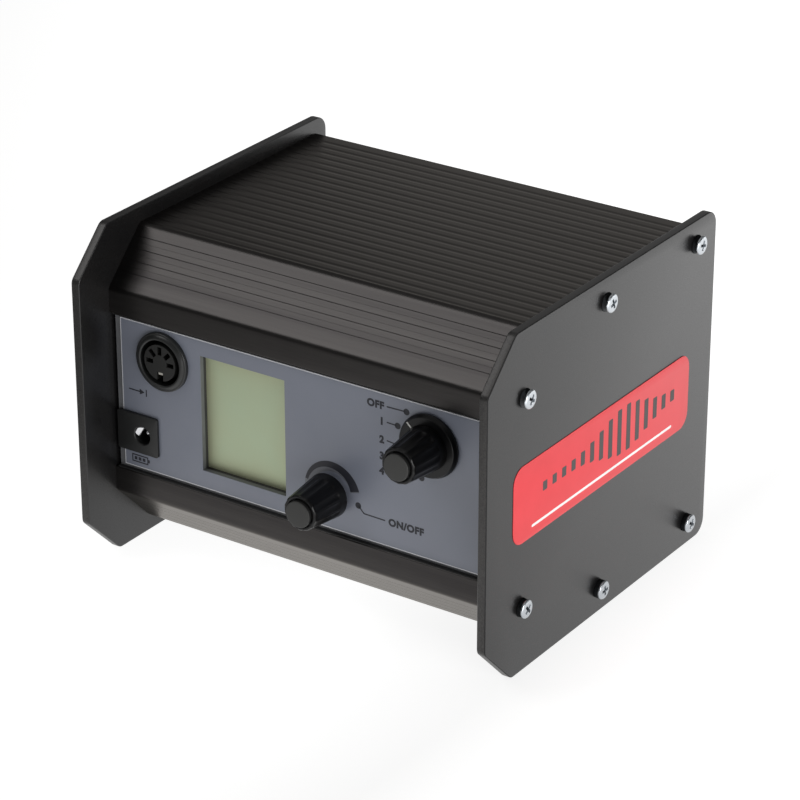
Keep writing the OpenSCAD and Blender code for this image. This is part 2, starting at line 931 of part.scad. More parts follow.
// Leaf that bulges into the bore and presses on the plug's sleeve
module charge_socket_spring() {
    front = overlay_thick + jack_proud - spring_drop;
    room = jack_bore_d / 2 - push_gap;
    foot = sqrt(room * room - spring_width * spring_width / 4);
    outside = [
        for (i = [0 : 12])
            [foot - spring_reach * pow(sin(15 * i), 2), front - spring_length * i / 12]
    ];
    inside = [for (i = [12 : -1 : 0]) outside[i] - [spring_thick, 0]];
    color(zinc)
        on_panel(bore_x, bore_z)
            rotate(spring_angle)
                rotate([90, 0, 0])
                    linear_extrude(spring_width, center = true)
                        polygon(concat(outside, inside));
}

module charge_socket_tags() {
    step = jack_body_height / 2 - 1;
    y = panel_back_y + jack_depth;
    color(zinc)
        for (side = [-1, 1])
            sheet(bore_x, y, mid_z + bore_z + side * step,
                tag_size.x, tag_size.y, tag_size.z);
}

// Fixed body of a control: square box on the control board with a neck through the panel
module control_body(size, room_d) {
    difference() {
        union() {
            translate([-size / 2, -size / 2, body_back])
                cube([size, size, body_front - body_back]);
            rod(neck_d, body_front - body_wall / 2, neck_front);
        }
        rod(room_d, room_back, room_front);
        rod(bearing_d, room_front - body_wall, neck_front + cut);
    }
}

module selector_switch() {
    color(black)
        on_panel(selector_x, selector_z)
            control_body(switch_size, rotor_d + 2 * free_gap);
}

module encoder_body() {
    color(dark)
        on_panel(encoder_x, encoder_z)
            control_body(encoder_size, collar_d + 2 * free_gap);
}

// Shaft from its collar in the body to the end of the collet; base is the knob's foot
module control_shaft(base, collar, thick) {
    top = room_front - free_gap;
    rod(shaft_d, top - thick / 2, base + bush_room + collet_length);
    rod(collar, top - thick, top);
}

// Sleeve between shaft and knob
module collet(base) {
    difference() {
        rod(collet_d - 2 * push_gap, base + bush_room, base + bush_room + collet_length);
        rod(shaft_d + 2 * push_gap, base, base + knob_length);
    }
}

// Fluted knob with room for the neck, the collet and the cap
module fluted_knob(base) {
    seat = base + knob_length - cap_thick;
    difference() {
        translate([0, 0, base])
            cylinder(d1 = knob_d, d2 = knob_front_d, h = grip_length);
        for (i = [0 : flutes - 1])
            rotate(i * 360 / flutes)
                translate([knob_d / 2 - flute_depth + flute_d / 2, 0, base])
                    rotate([0, -flute_lean, 0])
                        rod(flute_d, knob_rim, grip_length + cut);
        rod(knob_room_d, base - cut, base + bush_room);
        rod(collet_d, base, seat);
        rod(cap_d + 2 * push_gap, seat, base + knob_length);
    }
}

module knob_cap(base) {
    rod(cap_d, base + knob_length - cap_thick, base + knob_length);
}

selector_base = overlay_thick + skirt_gap + skirt_thick;
encoder_base = overlay_thick + encoder_gap;

module selector_shaft() {
    color(zinc)
        on_panel(selector_x, selector_z)
            control_shaft(selector_base, rotor_d, rotor_thick);
}

module selector_collet() {
    color(copper)
        on_panel(selector_x, selector_z)
            collet(selector_base);
}

module selector_skirt() {
    color(black)
        on_panel(selector_x, selector_z)
            difference() {
                translate([0, 0, selector_base - skirt_thick])
                    cylinder(d1 = skirt_d, d2 = skirt_d - skirt_thick / 2, h = skirt_thick);
                rod(knob_room_d, 0, selector_base + cut);
            }
}

// Line on the pointer disc, from the knob's foot outwards
module selector_pointer() {
    start = knob_d / 2 + free_gap;
    end = (skirt_d - skirt_thick) / 2;
    color("white")
        on_panel(selector_x, selector_z)
            rotate(pointer_angle)
                translate([start, -pointer_width / 2, selector_base])
                    cube([end - start, pointer_width, pointer_height]);
}

module selector_knob() {
    color(black)
        on_panel(selector_x, selector_z)
            rotate(pointer_angle)
                fluted_knob(selector_base);
}

module selector_cap() {
    color(grey)
        on_panel(selector_x, selector_z)
            knob_cap(selector_base);
}

// Push plunger against the back of the encoder's shaft
module encoder_plunger() {
    top = room_front - free_gap - collar_thick;
    color(zinc)
        on_panel(encoder_x, encoder_z) {
            rod(collar_d, top - plunger_thick, top);
            rod(plunger_tip_d, room_back + push_travel + free_gap, top);
        }
}

module encoder_shaft() {
    color(zinc)
        on_panel(encoder_x, encoder_z)
            control_shaft(encoder_base, collar_d, collar_thick);
}

module encoder_collet() {
    color(copper)
        on_panel(encoder_x, encoder_z)
            collet(encoder_base);
}

module encoder_knob() {
    color(black)
        on_panel(encoder_x, encoder_z)
            rotate(pointer_angle)
                fluted_knob(encoder_base);
}

module encoder_cap() {
    color(grey)
        on_panel(encoder_x, encoder_z)
            knob_cap(encoder_base);
}

module lamp_window() {
    color([0.85, 0.9, 0.92, 0.35])
        sheet(0, window_y, mid_z, lamp_width, window_thick, lamp_sheet_height);
}

// Puts its children on each lamp's place, own Z pointing to the back
module at_lamps(y) {
    for (i = [0 : led_columns - 1], j = [0 : led_rows - 1])
        translate([
            lens_x + (i - (led_columns - 1) / 2) * led_step_x,
            y,
            mid_z + (j - (led_rows - 1) / 2) * led_step_z
        ])
            rotate([-90, 0, 0])
                children();
}

module reflector_plate() {
    color([0.8, 0.81, 0.83])
        difference() {
            sheet(lens_x, lens_y, mid_z, lens_width, lens_depth, lens_height);
            at_lamps(lens_y)
                cylinder(d1 = cup_foot_d, d2 = cup_d, h = lens_depth);
        }
}

module lamp_board() {
    color("white")
        sheet(lens_x, led_board_y, mid_z, lens_width, board_thick, lens_height);
}

module lamps() {
    base = led_size / 5;
    color([0.95, 0.85, 0.35])
        at_lamps(lens_y) {
            translate([-led_size / 2, -led_size / 2, 0])
                cube([led_size, led_size, base]);
            intersection() {
                translate([0, 0, base / 2])
                    sphere(d = 0.9 * led_size);
                rod(led_size, base / 2, led_size);
            }
        }
}

module heat_sink() {
    fins = floor((lamp_width - fin_thick) / fin_pitch);
    height = lamp_opening - 4 * free_gap;
    color([0.68, 0.69, 0.7])
        union() {
            sheet(0, sink_y, mid_z, lamp_width, sink_thick, lamp_sheet_height);
            for (i = [0 : fins - 1])
                sheet((i - (fins - 1) / 2) * fin_pitch, fin_y, mid_z,
                    fin_thick, fin_depth + sink_thick / 2, height);
        }
}

// Heights of the two bores of the holder, from its middle
sensor_raise = lens_height / 4;

module sensor_holder() {
    color(black)
        difference() {
            sheet(sensor_x, led_board_y, mid_z, sensor_width, lens_depth + board_thick, lens_height);
            translate([sensor_x, led_board_y + board_thick, mid_z + sensor_raise])
                rotate([-90, 0, 0])
                    rod(laser_d + 2 * push_gap, 0, lens_depth + cut);
            translate([sensor_x, led_board_y + board_thick, mid_z - sensor_raise])
                rotate([-90, 0, 0])
                    rod(sensor_d + 2 * push_gap, 0, lens_depth + cut);
        }
}

module pointer_laser() {
    color(copper)
        translate([sensor_x, lens_y, mid_z + sensor_raise])
            rotate([-90, 0, 0])
                difference() {
                    rod(laser_d, 0, laser_length);
                    rod(laser_d / 2, laser_length - 1, laser_length + cut);
                }
}

module light_sensor() {
    color([0.1, 0.05, 0.08])
        translate([sensor_x, lens_y, mid_z - sensor_raise])
            rotate([-90, 0, 0])
                rod(sensor_d, 0, sensor_length);
}

module battery_tray() {
    wall_y = cells_depth / 2;
    color(dark)
        translate([0, tray_y, floor_z])
            union() {
                sheet(0, -tray_depth / 2, tray_lift + tray_wall / 2, tray_length, tray_depth, tray_wall);
                for (side = [-1, 1]) {
                    sheet(0, side * (tray_depth - runner_width) / 2 - runner_width / 2,
                        (tray_lift + tray_wall) / 2, tray_length, runner_width, tray_lift + tray_wall);
                    sheet(0, side * (wall_y + tray_wall / 2) - tray_wall / 2,
                        tray_lift + (tray_wall + tray_wall_height) / 2,
                        cells_length, tray_wall, tray_wall + tray_wall_height);
                }
            }
}

module battery_cells() {
    barrel = cell_length - terminal_height;
    color([0.2, 0.42, 0.62])
        for (i = [0 : cell_columns - 1], j = [0 : cell_rows - 1])
            translate([
                (i - (cell_columns - 1) / 2) * cell_pitch - cell_length / 2,
                tray_y + (j - (cell_rows - 1) / 2) * cell_step,
                tray_top_z + push_gap + cell_d / 2
            ])
                rotate([0, 90, 0]) {
                    rod(cell_d, 0, barrel);
                    rod(terminal_d, 0, cell_length);
                }
}

module battery_straps() {
    inner = cells_depth + 2 * tray_wall + 2 * push_gap;
    height = cell_d + 2 * push_gap;
    color([0.85, 0.85, 0.82])
        for (i = [0 : cell_columns - 1])
            translate([(i - (cell_columns - 1) / 2) * cell_pitch, tray_y, tray_top_z])
                along_x(strap_width)
                    difference() {
                        translate([-inner / 2 - strap_thick, 0])
                            square([inner + 2 * strap_thick, height + strap_thick]);
                        translate([-inner / 2, -cut])
                            square([inner, height + cut]);
                    }
}

// Puts its children on the four corners of the driver board
module at_pillars(z) {
    for (x = [-pillar_x, pillar_x], y = [-pillar_y, pillar_y])
        translate([x, tray_y + y, z])
            children();
}

module driver_pillars() {
    color(zinc)
        at_pillars(driver_z)
            difference() {
                rod(pillar_d, tray_top_z - driver_z, 0);
                rod(small_screw_d + 2 * push_gap, -small_screw_length - cut, cut);
            }
}

module driver_board() {
    color(board_green)
        difference() {
            sheet(0, tray_y - tray_depth / 2, driver_z + board_thick / 2,
                tray_length, tray_depth, board_thick);
            at_pillars(driver_z)
                rod(small_screw_d + 2 * hole_gap, -cut, board_thick + cut);
        }
}

module driver_screws() {
    color(zinc)
        at_pillars(driver_top_z)
            pan_screw(small_screw_d, small_screw_length, small_head_d, small_head_height);
}

module driver_capacitors() {
    color([0.15, 0.17, 0.3])
        for (i = [-1 : 1])
            translate([-pillar_x / 2 + i * capacitor_step, tray_y + tray_depth / 4, driver_top_z])
                rod(capacitor_d, 0, capacitor_height);
}

module driver_inductor() {
    color(copper)
        translate([pillar_x / 2, tray_y + tray_depth / 4, driver_top_z + inductor_wire_d / 2 + push_gap])
            rotate_extrude()
                translate([inductor_ring_d / 2, 0])
                    circle(d = inductor_wire_d);
}

module ribbon_headers() {
    width = ribbon_width + 2;
    color(black) {
        sheet(ribbon_x, board_back_y, ribbon_top_z, width, header_depth, header_height);
        sheet(ribbon_x, ribbon_end_y - header_depth / 2, driver_top_z + header_height / 2,
            width, header_depth, header_height);
    }
}

module ribbon_cable() {
    half = ribbon_thick / 2;
    color([0.62, 0.63, 0.66])
        translate([ribbon_x, 0, 0])
            along_x(ribbon_width) {
                translate([ribbon_start_y, ribbon_top_z - half])
                    square([ribbon_turn_y - ribbon_start_y, ribbon_thick]);
                translate([ribbon_end_y - half, ribbon_foot_z])
                    square([ribbon_thick, ribbon_turn_z - ribbon_foot_z]);
                intersection() {
                    translate([ribbon_turn_y, ribbon_turn_z])
                        difference() {
                            circle(r = ribbon_bend + half);
                            circle(r = ribbon_bend - half);
                        }
                    translate([ribbon_turn_y, ribbon_turn_z])
                        square(2 * ribbon_bend);
                }
            }
}

module tripod_bush() {
    color(copper)
        translate([0, bush_y, plate_margin])
            difference() {
                union() {
                    rod(bush_d, 0, bush_length);
                    rod(bush_flange_d, shell_wall, shell_wall + bush_flange_thick);
                }
                rod(bush_bore_d, -cut, bush_length + cut);
            }
}

upper_shell();
lower_shell();
left_end_plate();
right_end_plate();
left_plate_screws();
right_plate_screws();
side_label();
front_panel();
panel_overlay();
panel_seals();
panel_studs();
control_board();
control_board_screws();
display_gasket();
display_glass();
display_backlight();
input_socket_shell();
input_socket_core();
input_socket_contacts();
input_socket_nut();
charge_socket_body();
charge_socket_pin();
charge_socket_spring();
charge_socket_tags();
selector_switch();
selector_shaft();
selector_collet();
selector_skirt();
selector_pointer();
selector_knob();
selector_cap();
encoder_body();
encoder_plunger();
encoder_shaft();
encoder_collet();
encoder_knob();
encoder_cap();
lamp_window();
reflector_plate();
lamp_board();
lamps();
heat_sink();
sensor_holder();
pointer_laser();
light_sensor();
battery_tray();
battery_cells();
battery_straps();
driver_pillars();
driver_board();
driver_screws();
driver_capacitors();
driver_inductor();
ribbon_headers();
ribbon_cable();
tripod_bush();
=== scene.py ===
# %% [markdown]
# A portable stroboscope: two ribbed aluminium extrusions between two black end plates, a control
# panel at the front and a field of lamps at the back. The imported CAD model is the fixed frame: it
# gives every place and size, and this script adds the finish. Lengths here are in millimetres, and
# Blender's metres appear only where a mesh is written.

# %% Load the frame
import math

import bmesh
import bpy
import numpy as np
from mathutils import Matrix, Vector


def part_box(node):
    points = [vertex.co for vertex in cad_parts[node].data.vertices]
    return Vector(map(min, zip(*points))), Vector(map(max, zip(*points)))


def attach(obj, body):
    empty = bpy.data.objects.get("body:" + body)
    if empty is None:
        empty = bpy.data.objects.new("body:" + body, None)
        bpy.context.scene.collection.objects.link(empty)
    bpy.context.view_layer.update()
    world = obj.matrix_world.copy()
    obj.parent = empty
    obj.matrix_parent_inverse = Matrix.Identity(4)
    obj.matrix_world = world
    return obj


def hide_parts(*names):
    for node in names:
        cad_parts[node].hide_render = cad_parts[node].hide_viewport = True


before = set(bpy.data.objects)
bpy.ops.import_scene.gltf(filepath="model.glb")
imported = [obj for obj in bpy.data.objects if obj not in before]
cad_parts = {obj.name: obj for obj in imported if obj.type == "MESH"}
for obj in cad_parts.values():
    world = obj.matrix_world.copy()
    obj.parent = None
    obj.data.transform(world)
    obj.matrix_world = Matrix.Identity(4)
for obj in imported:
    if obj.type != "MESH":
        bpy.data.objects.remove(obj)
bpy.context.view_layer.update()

print("nodes in the frame:", len(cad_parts))

# %% [markdown]
# A piece could be typed in with its own numbers, but then it would drift away from the CAD model.
# So each piece reads its place from the boxes of the nodes that it dresses or sits on.

# %% Measures
MM = 0.001
TURN = 2 * np.pi


def corners(node):
    """Lowest and highest corner of a CAD node, in millimetres."""
    low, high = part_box(node)
    return np.array(low) / MM, np.array(high) / MM


def middle(node):
    """Centre of a CAD node's box, in millimetres."""
    low, high = corners(node)
    return (low + high) / 2


plate_low, plate_high = corners("right_end_plate")
shell_low, shell_high = corners("upper_shell")
panel_low, panel_high = corners("front_panel")
overlay_low, overlay_high = corners("panel_overlay")
mid_z = (plate_low[2] + plate_high[2]) / 2
panel_y = panel_low[1]
overlay_y = overlay_low[1]
print("plate", plate_high - plate_low, "panel face at y =", panel_y)

# %% [markdown]
# The camera stands where the photographer stood: a long lens, about 34 degrees to the right of the
# panel and 25 degrees above the table. It is aimed at a point near the middle of the body.

# %% Camera
view_azimuth = math.radians(34.19)
view_elevation = math.radians(25.31)
view_distance = 1028.7
view_aim = np.array([2.32, 0.07, 52.92])
lens_length = 148.14
film_width = 36.0

towards_camera = np.array([
    math.sin(view_azimuth) * math.cos(view_elevation),
    -math.cos(view_azimuth) * math.cos(view_elevation),
    math.sin(view_elevation),
])
camera = bpy.data.objects.new("camera", bpy.data.cameras.new("camera"))
camera.data.lens = lens_length
camera.data.sensor_width = film_width
camera.location = (view_aim + view_distance * towards_camera) * MM
camera.rotation_euler = Vector(-towards_camera).to_track_quat("-Z", "Y").to_euler()
bpy.context.scene.collection.objects.link(camera)
bpy.context.scene.camera = camera
bpy.context.scene.view_settings.view_transform = "Standard"
print("camera at", [round(c, 4) for c in camera.location])

# %% [markdown]
# Shader arithmetic reads best as arithmetic. This class wraps one socket of a material: sums and
# products of sockets add Math nodes, and one method adds any other node. Colours are given as they
# look on a screen, from 0 to 255.

# %% Shader sockets


def paint(colour):
    """Linear colour of a screen colour; a socket stays as it is."""
    if isinstance(colour, Socket):
        return colour
    share = np.array(colour) / 255
    linear = np.where(share <= 0.04045, share / 12.92, ((share + 0.055) / 1.055) ** 2.4)
    return (*linear.tolist(), 1.0)


class Socket:
    """A socket of a material's node tree that can be reckoned with, by numpy's numbers too."""

    __array_ufunc__ = None

    def __init__(self, tree, output=None):
        self.tree = tree
        self.output = output

    def node(self, kind, settings, sockets, output=0):
        """Adds a node: first its settings, then its sockets' values or links."""
        node = self.tree.nodes.new(kind)
        for key, value in settings.items():
            setattr(node, key, value)
        for key, value in sockets.items():
            if isinstance(value, Socket):
                self.tree.links.new(value.output, node.inputs[key])
            else:
                node.inputs[key].default_value = value
        return Socket(self.tree, node.outputs[output])

    def maths(self, operation, first, second=0.0):
        """Adds a Math node."""
        return self.node("ShaderNodeMath", {"operation": operation}, {0: first, 1: second})

    def __add__(self, other):
        return self.maths("ADD", self, other)

    def __sub__(self, other):
        return self.maths("SUBTRACT", self, other)

    def __rsub__(self, other):
        return self.maths("SUBTRACT", other, self)

    def __mul__(self, other):
        return self.maths("MULTIPLY", self, other)

    def __truediv__(self, other):
        return self.maths("DIVIDE", self, other)

    __radd__ = __add__
    __rmul__ = __mul__

    def __abs__(self):
        return self.maths("ABSOLUTE", self)

    def over(self, edge):
        """1 where this value is over the edge, and 0 elsewhere."""
        return self.maths("GREATER_THAN", self, edge)

    def spread(self, low, high):
        """This value with low to high stretched over 0 to 1, and cut off there."""
        return self.node("ShaderNodeMapRange", {"clamp": True}, {0: self, 1: low, 2: high})

    def tint(self, first, second):
        """Colour from the first to the second as this value goes from 0 to 1."""
        sockets = {0: self, 6: paint(first), 7: paint(second)}
        return self.node("ShaderNodeMix", {"data_type": "RGBA"}, sockets, 2)

    def axis(self, name):
        """One coordinate of this vector, in millimetres."""
        return self.node("ShaderNodeSeparateXYZ", {}, {0: self}, name) / MM

    def noise(self, size, stretch=(1, 1, 1), detail=3.0):
        """Clouds of a size in millimetres, drawn out along each axis by the stretch."""
        scale = [1 / (size * MM * s) for s in stretch]
        place = self.node("ShaderNodeMapping", {}, {"Vector": self, "Scale": scale})
        return self.node("ShaderNodeTexNoise", {}, {"Vector": place, "Scale": 1.0, "Detail": detail})

    def bump(self, depth):
        """Normal of a surface on which this value is a relief of a depth in millimetres."""
        sockets = {"Height": self, "Distance": depth * MM, "Strength": 1.0}
        return self.node("ShaderNodeBump", {}, sockets)


print("middle grey in linear light:", round(paint((128, 128, 128))[0], 3))

# %% [markdown]
# Nearly every surface here is one tone that drifts a little, a gloss that drifts with it, and a fine
# grain: paint, anodising, moulded plastic. One function makes them all, and the few finishes with a
# pattern of their own hand it a different recipe.

# %% Finishes


def finish(name, recipe, **fixed):
    """Material: recipe(place) gives the sockets that vary, the rest are the shader's constants."""
    material = bpy.data.materials.new(name)
    material.use_nodes = True
    tree = material.node_tree
    inputs = tree.nodes["Principled BSDF"].inputs
    for key, value in fixed.items():
        inputs[key.replace("_", " ")].default_value = value
    place = Socket(tree).node("ShaderNodeTexCoord", {}, {}, "Object")
    for key, value in recipe(place).items():
        tree.links.new(value.output, inputs[key.replace("_", " ")])
    return material


def coat(colour, roughness, normal, **more):
    """What nearly every recipe sets: colour, gloss and relief."""
    return {"Base_Color": colour, "Roughness": roughness, "Normal": normal, **more}


def grained(name, tone, other, gloss, grain, relief, stretch=(1, 1, 1), **fixed):
    """Finish that drifts between two tones and two roughnesses over a grain of a size and relief."""
    def recipe(place):
        drift = place.noise(30 * grain, stretch)
        fine = place.noise(grain, stretch)
        tones = (0.6 * drift + 0.4 * fine).spread(0.35, 0.65).tint(tone, other)
        return coat(tones, gloss[0] + (gloss[1] - gloss[0]) * fine, fine.bump(relief))
    return finish(name, recipe, **fixed)


print("materials so far:", len(bpy.data.materials))

# %% [markdown]
# The floor is plain and pale, like a light table: it glows, so no hard shadow falls on it, and the
# glossy black pieces take their tone from the part of it that they mirror. The glow grows towards
# the back right and the front and ends at the table's left edge, so the end plate shines, the panel
# is lit from below and the nose stays dark. One weak panel hangs overhead, one high on the left gives
# the sloping facet its sheen, one behind shines along the ribs and one low on the right lights the
# label. Dim surroundings keep what looks upwards black.

# %% Floor and light
floor_reach = 6.0
floor_mesh = bpy.data.meshes.new("floor")
floor_mesh.from_pydata(
    [(x * floor_reach, y * floor_reach, 0) for x, y in ((-1, -1), (1, -1), (1, 1), (-1, 1))],
    [], [(0, 1, 2, 3)],
)
floor = bpy.data.objects.new("floor", floor_mesh)
table_edge = -166.0
edge_lean = 0.11
edge_blur = 24.0
beyond_edge = 0.3
glow_middle = 0.99
glow_growth = 0.0008
glow_front = 1.1
front_near, front_far = -160.0, -320.0
glow_top = 2.8
shade_depth = 0.2


def floor_recipe(place):
    """Paper; its glow grows to the right and to the front, dips in a painted shadow at the plate's foot
    and fades at the edge.
    """
    fine = place.noise(2.0)
    right = math.cos(view_azimuth) * place.axis("X") + math.sin(view_azimuth) * place.axis("Y")
    away = math.cos(view_azimuth) * place.axis("Y") - math.sin(view_azimuth) * place.axis("X")
    inside = (right + edge_lean * away).spread(table_edge - edge_blur, table_edge + edge_blur)
    front = away.spread(front_near, front_far)
    # The dip in the glow near the right plate's foot is a painted shadow.
    foot = abs(place.axis("X") - plate_high[0]).spread(plate_high[0], 0.0)
    shade = (1 - shade_depth * foot) * (beyond_edge + (1 - beyond_edge) * inside)
    glow = (glow_middle + glow_growth * right + glow_front * front) * shade / glow_top
    paper = fine.tint((150, 150, 149), (157, 157, 156))
    white = glow.tint((0, 0, 0), (255, 255, 255))
    return coat(paper, 0.8 + 0.1 * fine, fine.bump(0.01), Emission_Color=white)


floor_mesh.materials.append(finish("floor_paper", floor_recipe, Emission_Strength=glow_top))
bpy.context.scene.collection.objects.link(floor)


def softbox(name, place, aim, size, radiance):
    """Square area light of a side in metres whose face glows with the given radiance."""
    light = bpy.data.lights.new(name, "AREA")
    light.size = size
    light.energy = radiance * math.pi * size * size
    lamp = bpy.data.objects.new(name, light)
    lamp.location = place
    lamp.visible_camera = False
    lamp.rotation_euler = (Vector(aim) - Vector(place)).to_track_quat("-Z", "Y").to_euler()
    bpy.context.scene.collection.objects.link(lamp)


softbox("overhead", (0.0, 0.1, 1.4), (0, 0.1, 0), 1.6, 0.25)
softbox("rib_glow", (-0.28, 1.02, 0.57), (0, 0, 0.1), 0.9, 0.23)
softbox("facet_key", (-0.66, -0.58, 1.06), (0, -0.04, 0.1), 0.6, 3.0)
softbox("label_fill", (1.25, -0.42, 0.32), (0, 0, 0.06), 0.56, 7.0)
surround = 0.16
world = bpy.data.worlds.new("studio")
world.use_nodes = True
world.node_tree.nodes["Background"].inputs["Color"].default_value = (surround, surround, surround, 1.0)
bpy.context.scene.world = world
lights = [item.name for item in bpy.data.objects if item.type == "LIGHT"]
print("floor of", 2 * floor_reach, "m, lights:", lights)

# %% [markdown]
# Every new piece is a stack of rings: closed curves with equally many points, joined by quads and
# closed at both ends. A plate is a stack of outlines, a knob a stack of circles, an extrusion two
# copies of its profile. The rings come from formulas on whole arrays.

# %% Rings


def unit(vectors):
    """Vectors scaled to length one."""
    return vectors / np.linalg.norm(vectors, axis=-1, keepdims=True)


def ways(angle):
    """Unit vectors (cos a, sin a)."""
    return np.stack([np.cos(angle), np.sin(angle)], axis=-1)


def around(count):
    """Angles of a full turn in equal steps."""
    return np.linspace(0, TURN, count, endpoint=False)


def polar(radius, angle, height):
    """Points x = r cos a, y = r sin a, z = h, with the three spread over one grid."""
    radius, angle, height = np.broadcast_arrays(radius, angle, height)
    return np.concatenate([radius[..., None] * ways(angle), height[..., None]], axis=-1)


def corner_frame(points):
    """For each corner of a polygon: the ways back and ahead, and half the angle between them."""
    back = unit(np.roll(points, 1, axis=0) - points)
    ahead = unit(np.roll(points, -1, axis=0) - points)
    half = np.arccos(np.clip((back * ahead).sum(axis=1), -1, 1)) / 2
    return back, ahead, half


def inset(points, distance):
    """Convex polygon with each side moved inwards: a corner moves by distance / sin(half angle)."""
    back, ahead, half = corner_frame(points)
    return points + unit(back + ahead) * (distance / np.sin(half))[:, None]


def arcs(points, radii, steps=6):
    """Arc at each corner that touches both sides, centred radius / sin(half) along the bisector."""
    back, ahead, half = corner_frame(points)
    centre = points + unit(back + ahead) * (radii / np.sin(half))[:, None]
    reach = (radii / np.tan(half))[:, None]
    first = points + back * reach - centre
    last = points + ahead * reach - centre
    start = np.arctan2(first[:, 1], first[:, 0])
    sweep = (np.arctan2(last[:, 1], last[:, 0]) - start + np.pi) % TURN - np.pi
    angle = start[:, None] + sweep[:, None] * np.linspace(0, 1, steps + 1)
    return centre[:, None] + radii[:, None, None] * ways(angle)


def round_edge(centre, radius, start, end, count):
    """Arc of a profile about a centre, between two angles in degrees."""
    return np.array(centre) + radius * ways(np.radians(np.linspace(start, end, count)))


def soft_edges(low, high, bevel, steps=3):
    """(inset, height) levels of a slab from low to high whose two edges are quarter rounds."""
    turn = np.linspace(0, np.pi / 2, steps + 1)
    foot = np.stack([bevel * (1 - np.sin(turn)), low + bevel * (1 - np.cos(turn))], axis=1)
    top = np.stack([foot[::-1, 0], low + high - foot[::-1, 1]], axis=1)
    return np.concatenate([foot, top])


def slab(points, radius, levels, steps=6):
    """Rings of a convex outline with rounded corners, inset and lifted level by level."""
    points = np.asarray(points, float)
    radii = np.broadcast_to(np.asarray(radius, float), len(points))
    least = 0.02
    rings = []
    for distance, height in levels:
        ring = arcs(inset(points, distance), np.maximum(radii - distance, least), steps).reshape(-1, 2)
        rings.append(np.column_stack([ring, np.full(len(ring), height)]))
    return np.array(rings)


def lathe(profile, count=96):
    """Rings of a turned piece: one circle for each (radius, height) of its profile."""
    radius, height = np.asarray(profile, float).T[:, :, None]
    return polar(radius, around(count), height)


def rectangle(width, height, x=0.0, y=0.0):
    """Corners of a rectangle about a point, anticlockwise."""
    return np.array([[-1, -1], [1, -1], [1, 1], [-1, 1]]) * [width / 2, height / 2] + [x, y]


print("a slab's levels for a 3 mm plate:", np.round(soft_edges(0, 3, 0.3), 2).tolist())

# %% [markdown]
# Rings become a mesh here. The end faces stay flat and the sides are shaded smooth up to an angle,
# so a bevel shows as a thin bright line, as it does on the real edges.

# %% Meshes


def loft(rings):
    """Points and faces of a closed solid: quads between neighbouring rings and one face at each end."""
    levels, count = rings.shape[:2]
    index = np.arange(levels * count).reshape(levels, count)
    right = np.roll(index, -1, axis=1)
    quads = np.stack([index[:-1], right[:-1], right[1:], index[1:]], axis=-1).reshape(-1, 4)
    return rings.reshape(-1, 3), quads.tolist() + [index[0, ::-1].tolist(), index[-1].tolist()]


def tube(rings):
    """Closed ring-shaped solid: the last ring is joined to the first, with no end faces."""
    points, faces = loft(np.concatenate([rings, rings[:1]]))
    count = rings.shape[0] * rings.shape[1]
    return points[:count], [[v % count for v in face] for face in faces[:-2]]


def add_piece(name, solids, material, slot, *stands_for, body="case", crease=40.0):
    """One object from solids given as (points, faces), riding on a body in place of CAD nodes."""
    starts = np.cumsum([0] + [len(points) for points, _ in solids])
    points = np.concatenate([points for points, _ in solids]) * MM
    faces = [[v + start for v in face] for (_, part), start in zip(solids, starts) for face in part]
    mesh = bpy.data.meshes.new(name)
    mesh.from_pydata(points.tolist(), [], faces)
    work = bmesh.new()
    work.from_mesh(mesh)
    bmesh.ops.recalc_face_normals(work, faces=work.faces)
    work.to_mesh(mesh)
    work.free()
    mesh.polygons.foreach_set("use_smooth", [len(p.vertices) <= 4 for p in mesh.polygons])
    mesh.set_sharp_from_angle(angle=math.radians(crease))
    mesh.materials.append(material)
    piece = bpy.data.objects.new(name, mesh)
    bpy.context.scene.collection.objects.link(piece)
    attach(piece, body)
    if stands_for:
        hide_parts(*stands_for)
    print(name, "has", len(mesh.polygons), "faces")


def dress(material, *nodes):
    """Gives CAD nodes a better material."""
    for node in nodes:
        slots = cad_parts[node].data.materials
        slots.clear()
        slots.append(material)


def on_panel(points, x, z):
    """Own X to the right, own Y up, own Z out of the panel's face."""
    across, up, out = np.moveaxis(points, -1, 0)
    return np.stack([x + across, panel_y - out, z + up], axis=-1)


def on_plate(points, y, z, side):
    """Own X to the back, own Y up, own Z out of an end plate's outer face, on side 1 or -1."""
    across, up, out = np.moveaxis(points, -1, 0)
    return np.stack([side * (plate_high[0] + out), y + across, z + up], axis=-1)


print("a turned disc has", len(loft(lathe([(1, 0), (1, 1)]))[1]), "faces")

# %% [markdown]
# The end plates are black coated sheet. The coat is thin on the cut edges, so the metal shines
# through there, and each edge is softened by a bevel, which is dull on the outside and painted
# nearly black there as shade. The outline has two cut corners at the front and two round ones
# at the back.

# %% End plates
plate_chamfer = 14.7
plate_corner = 5.0
plate_vertex = 3.0
plate_bevel = 0.3


def plate_recipe(place):
    """Black coat; between the bevels the thin coat shows the metal, and the outer bevel is dull and
    painted nearly black as shade.
    """
    fine = place.noise(0.35)
    drift = place.noise(10.0)
    depth = plate_high[0] - abs(place.axis("X"))
    thick = plate_high[0] - plate_low[0]
    past_outer = depth.spread(plate_bevel, 1.3 * plate_bevel)
    before_inner = depth.spread(thick - 0.5 * plate_bevel, thick - plate_bevel)
    cut = past_outer * before_inner
    rim = depth.spread(0.02, 0.08) * (1 - past_outer)
    black = (0.6 * drift + 0.4 * fine).spread(0.35, 0.65).tint((16, 16, 17), (21, 20, 20))
    worn = fine.spread(0.3, 0.7).tint((60, 59, 59), (77, 76, 75))
    # The near black of the outer bevel is painted shade.
    colour = cut.tint(rim.tint(black, (3, 3, 3)), worn)
    gloss = 0.24 + 0.1 * fine + 0.12 * cut + 0.5 * rim
    return coat(colour, gloss, fine.bump(0.0015), Metallic=0.9 * cut)


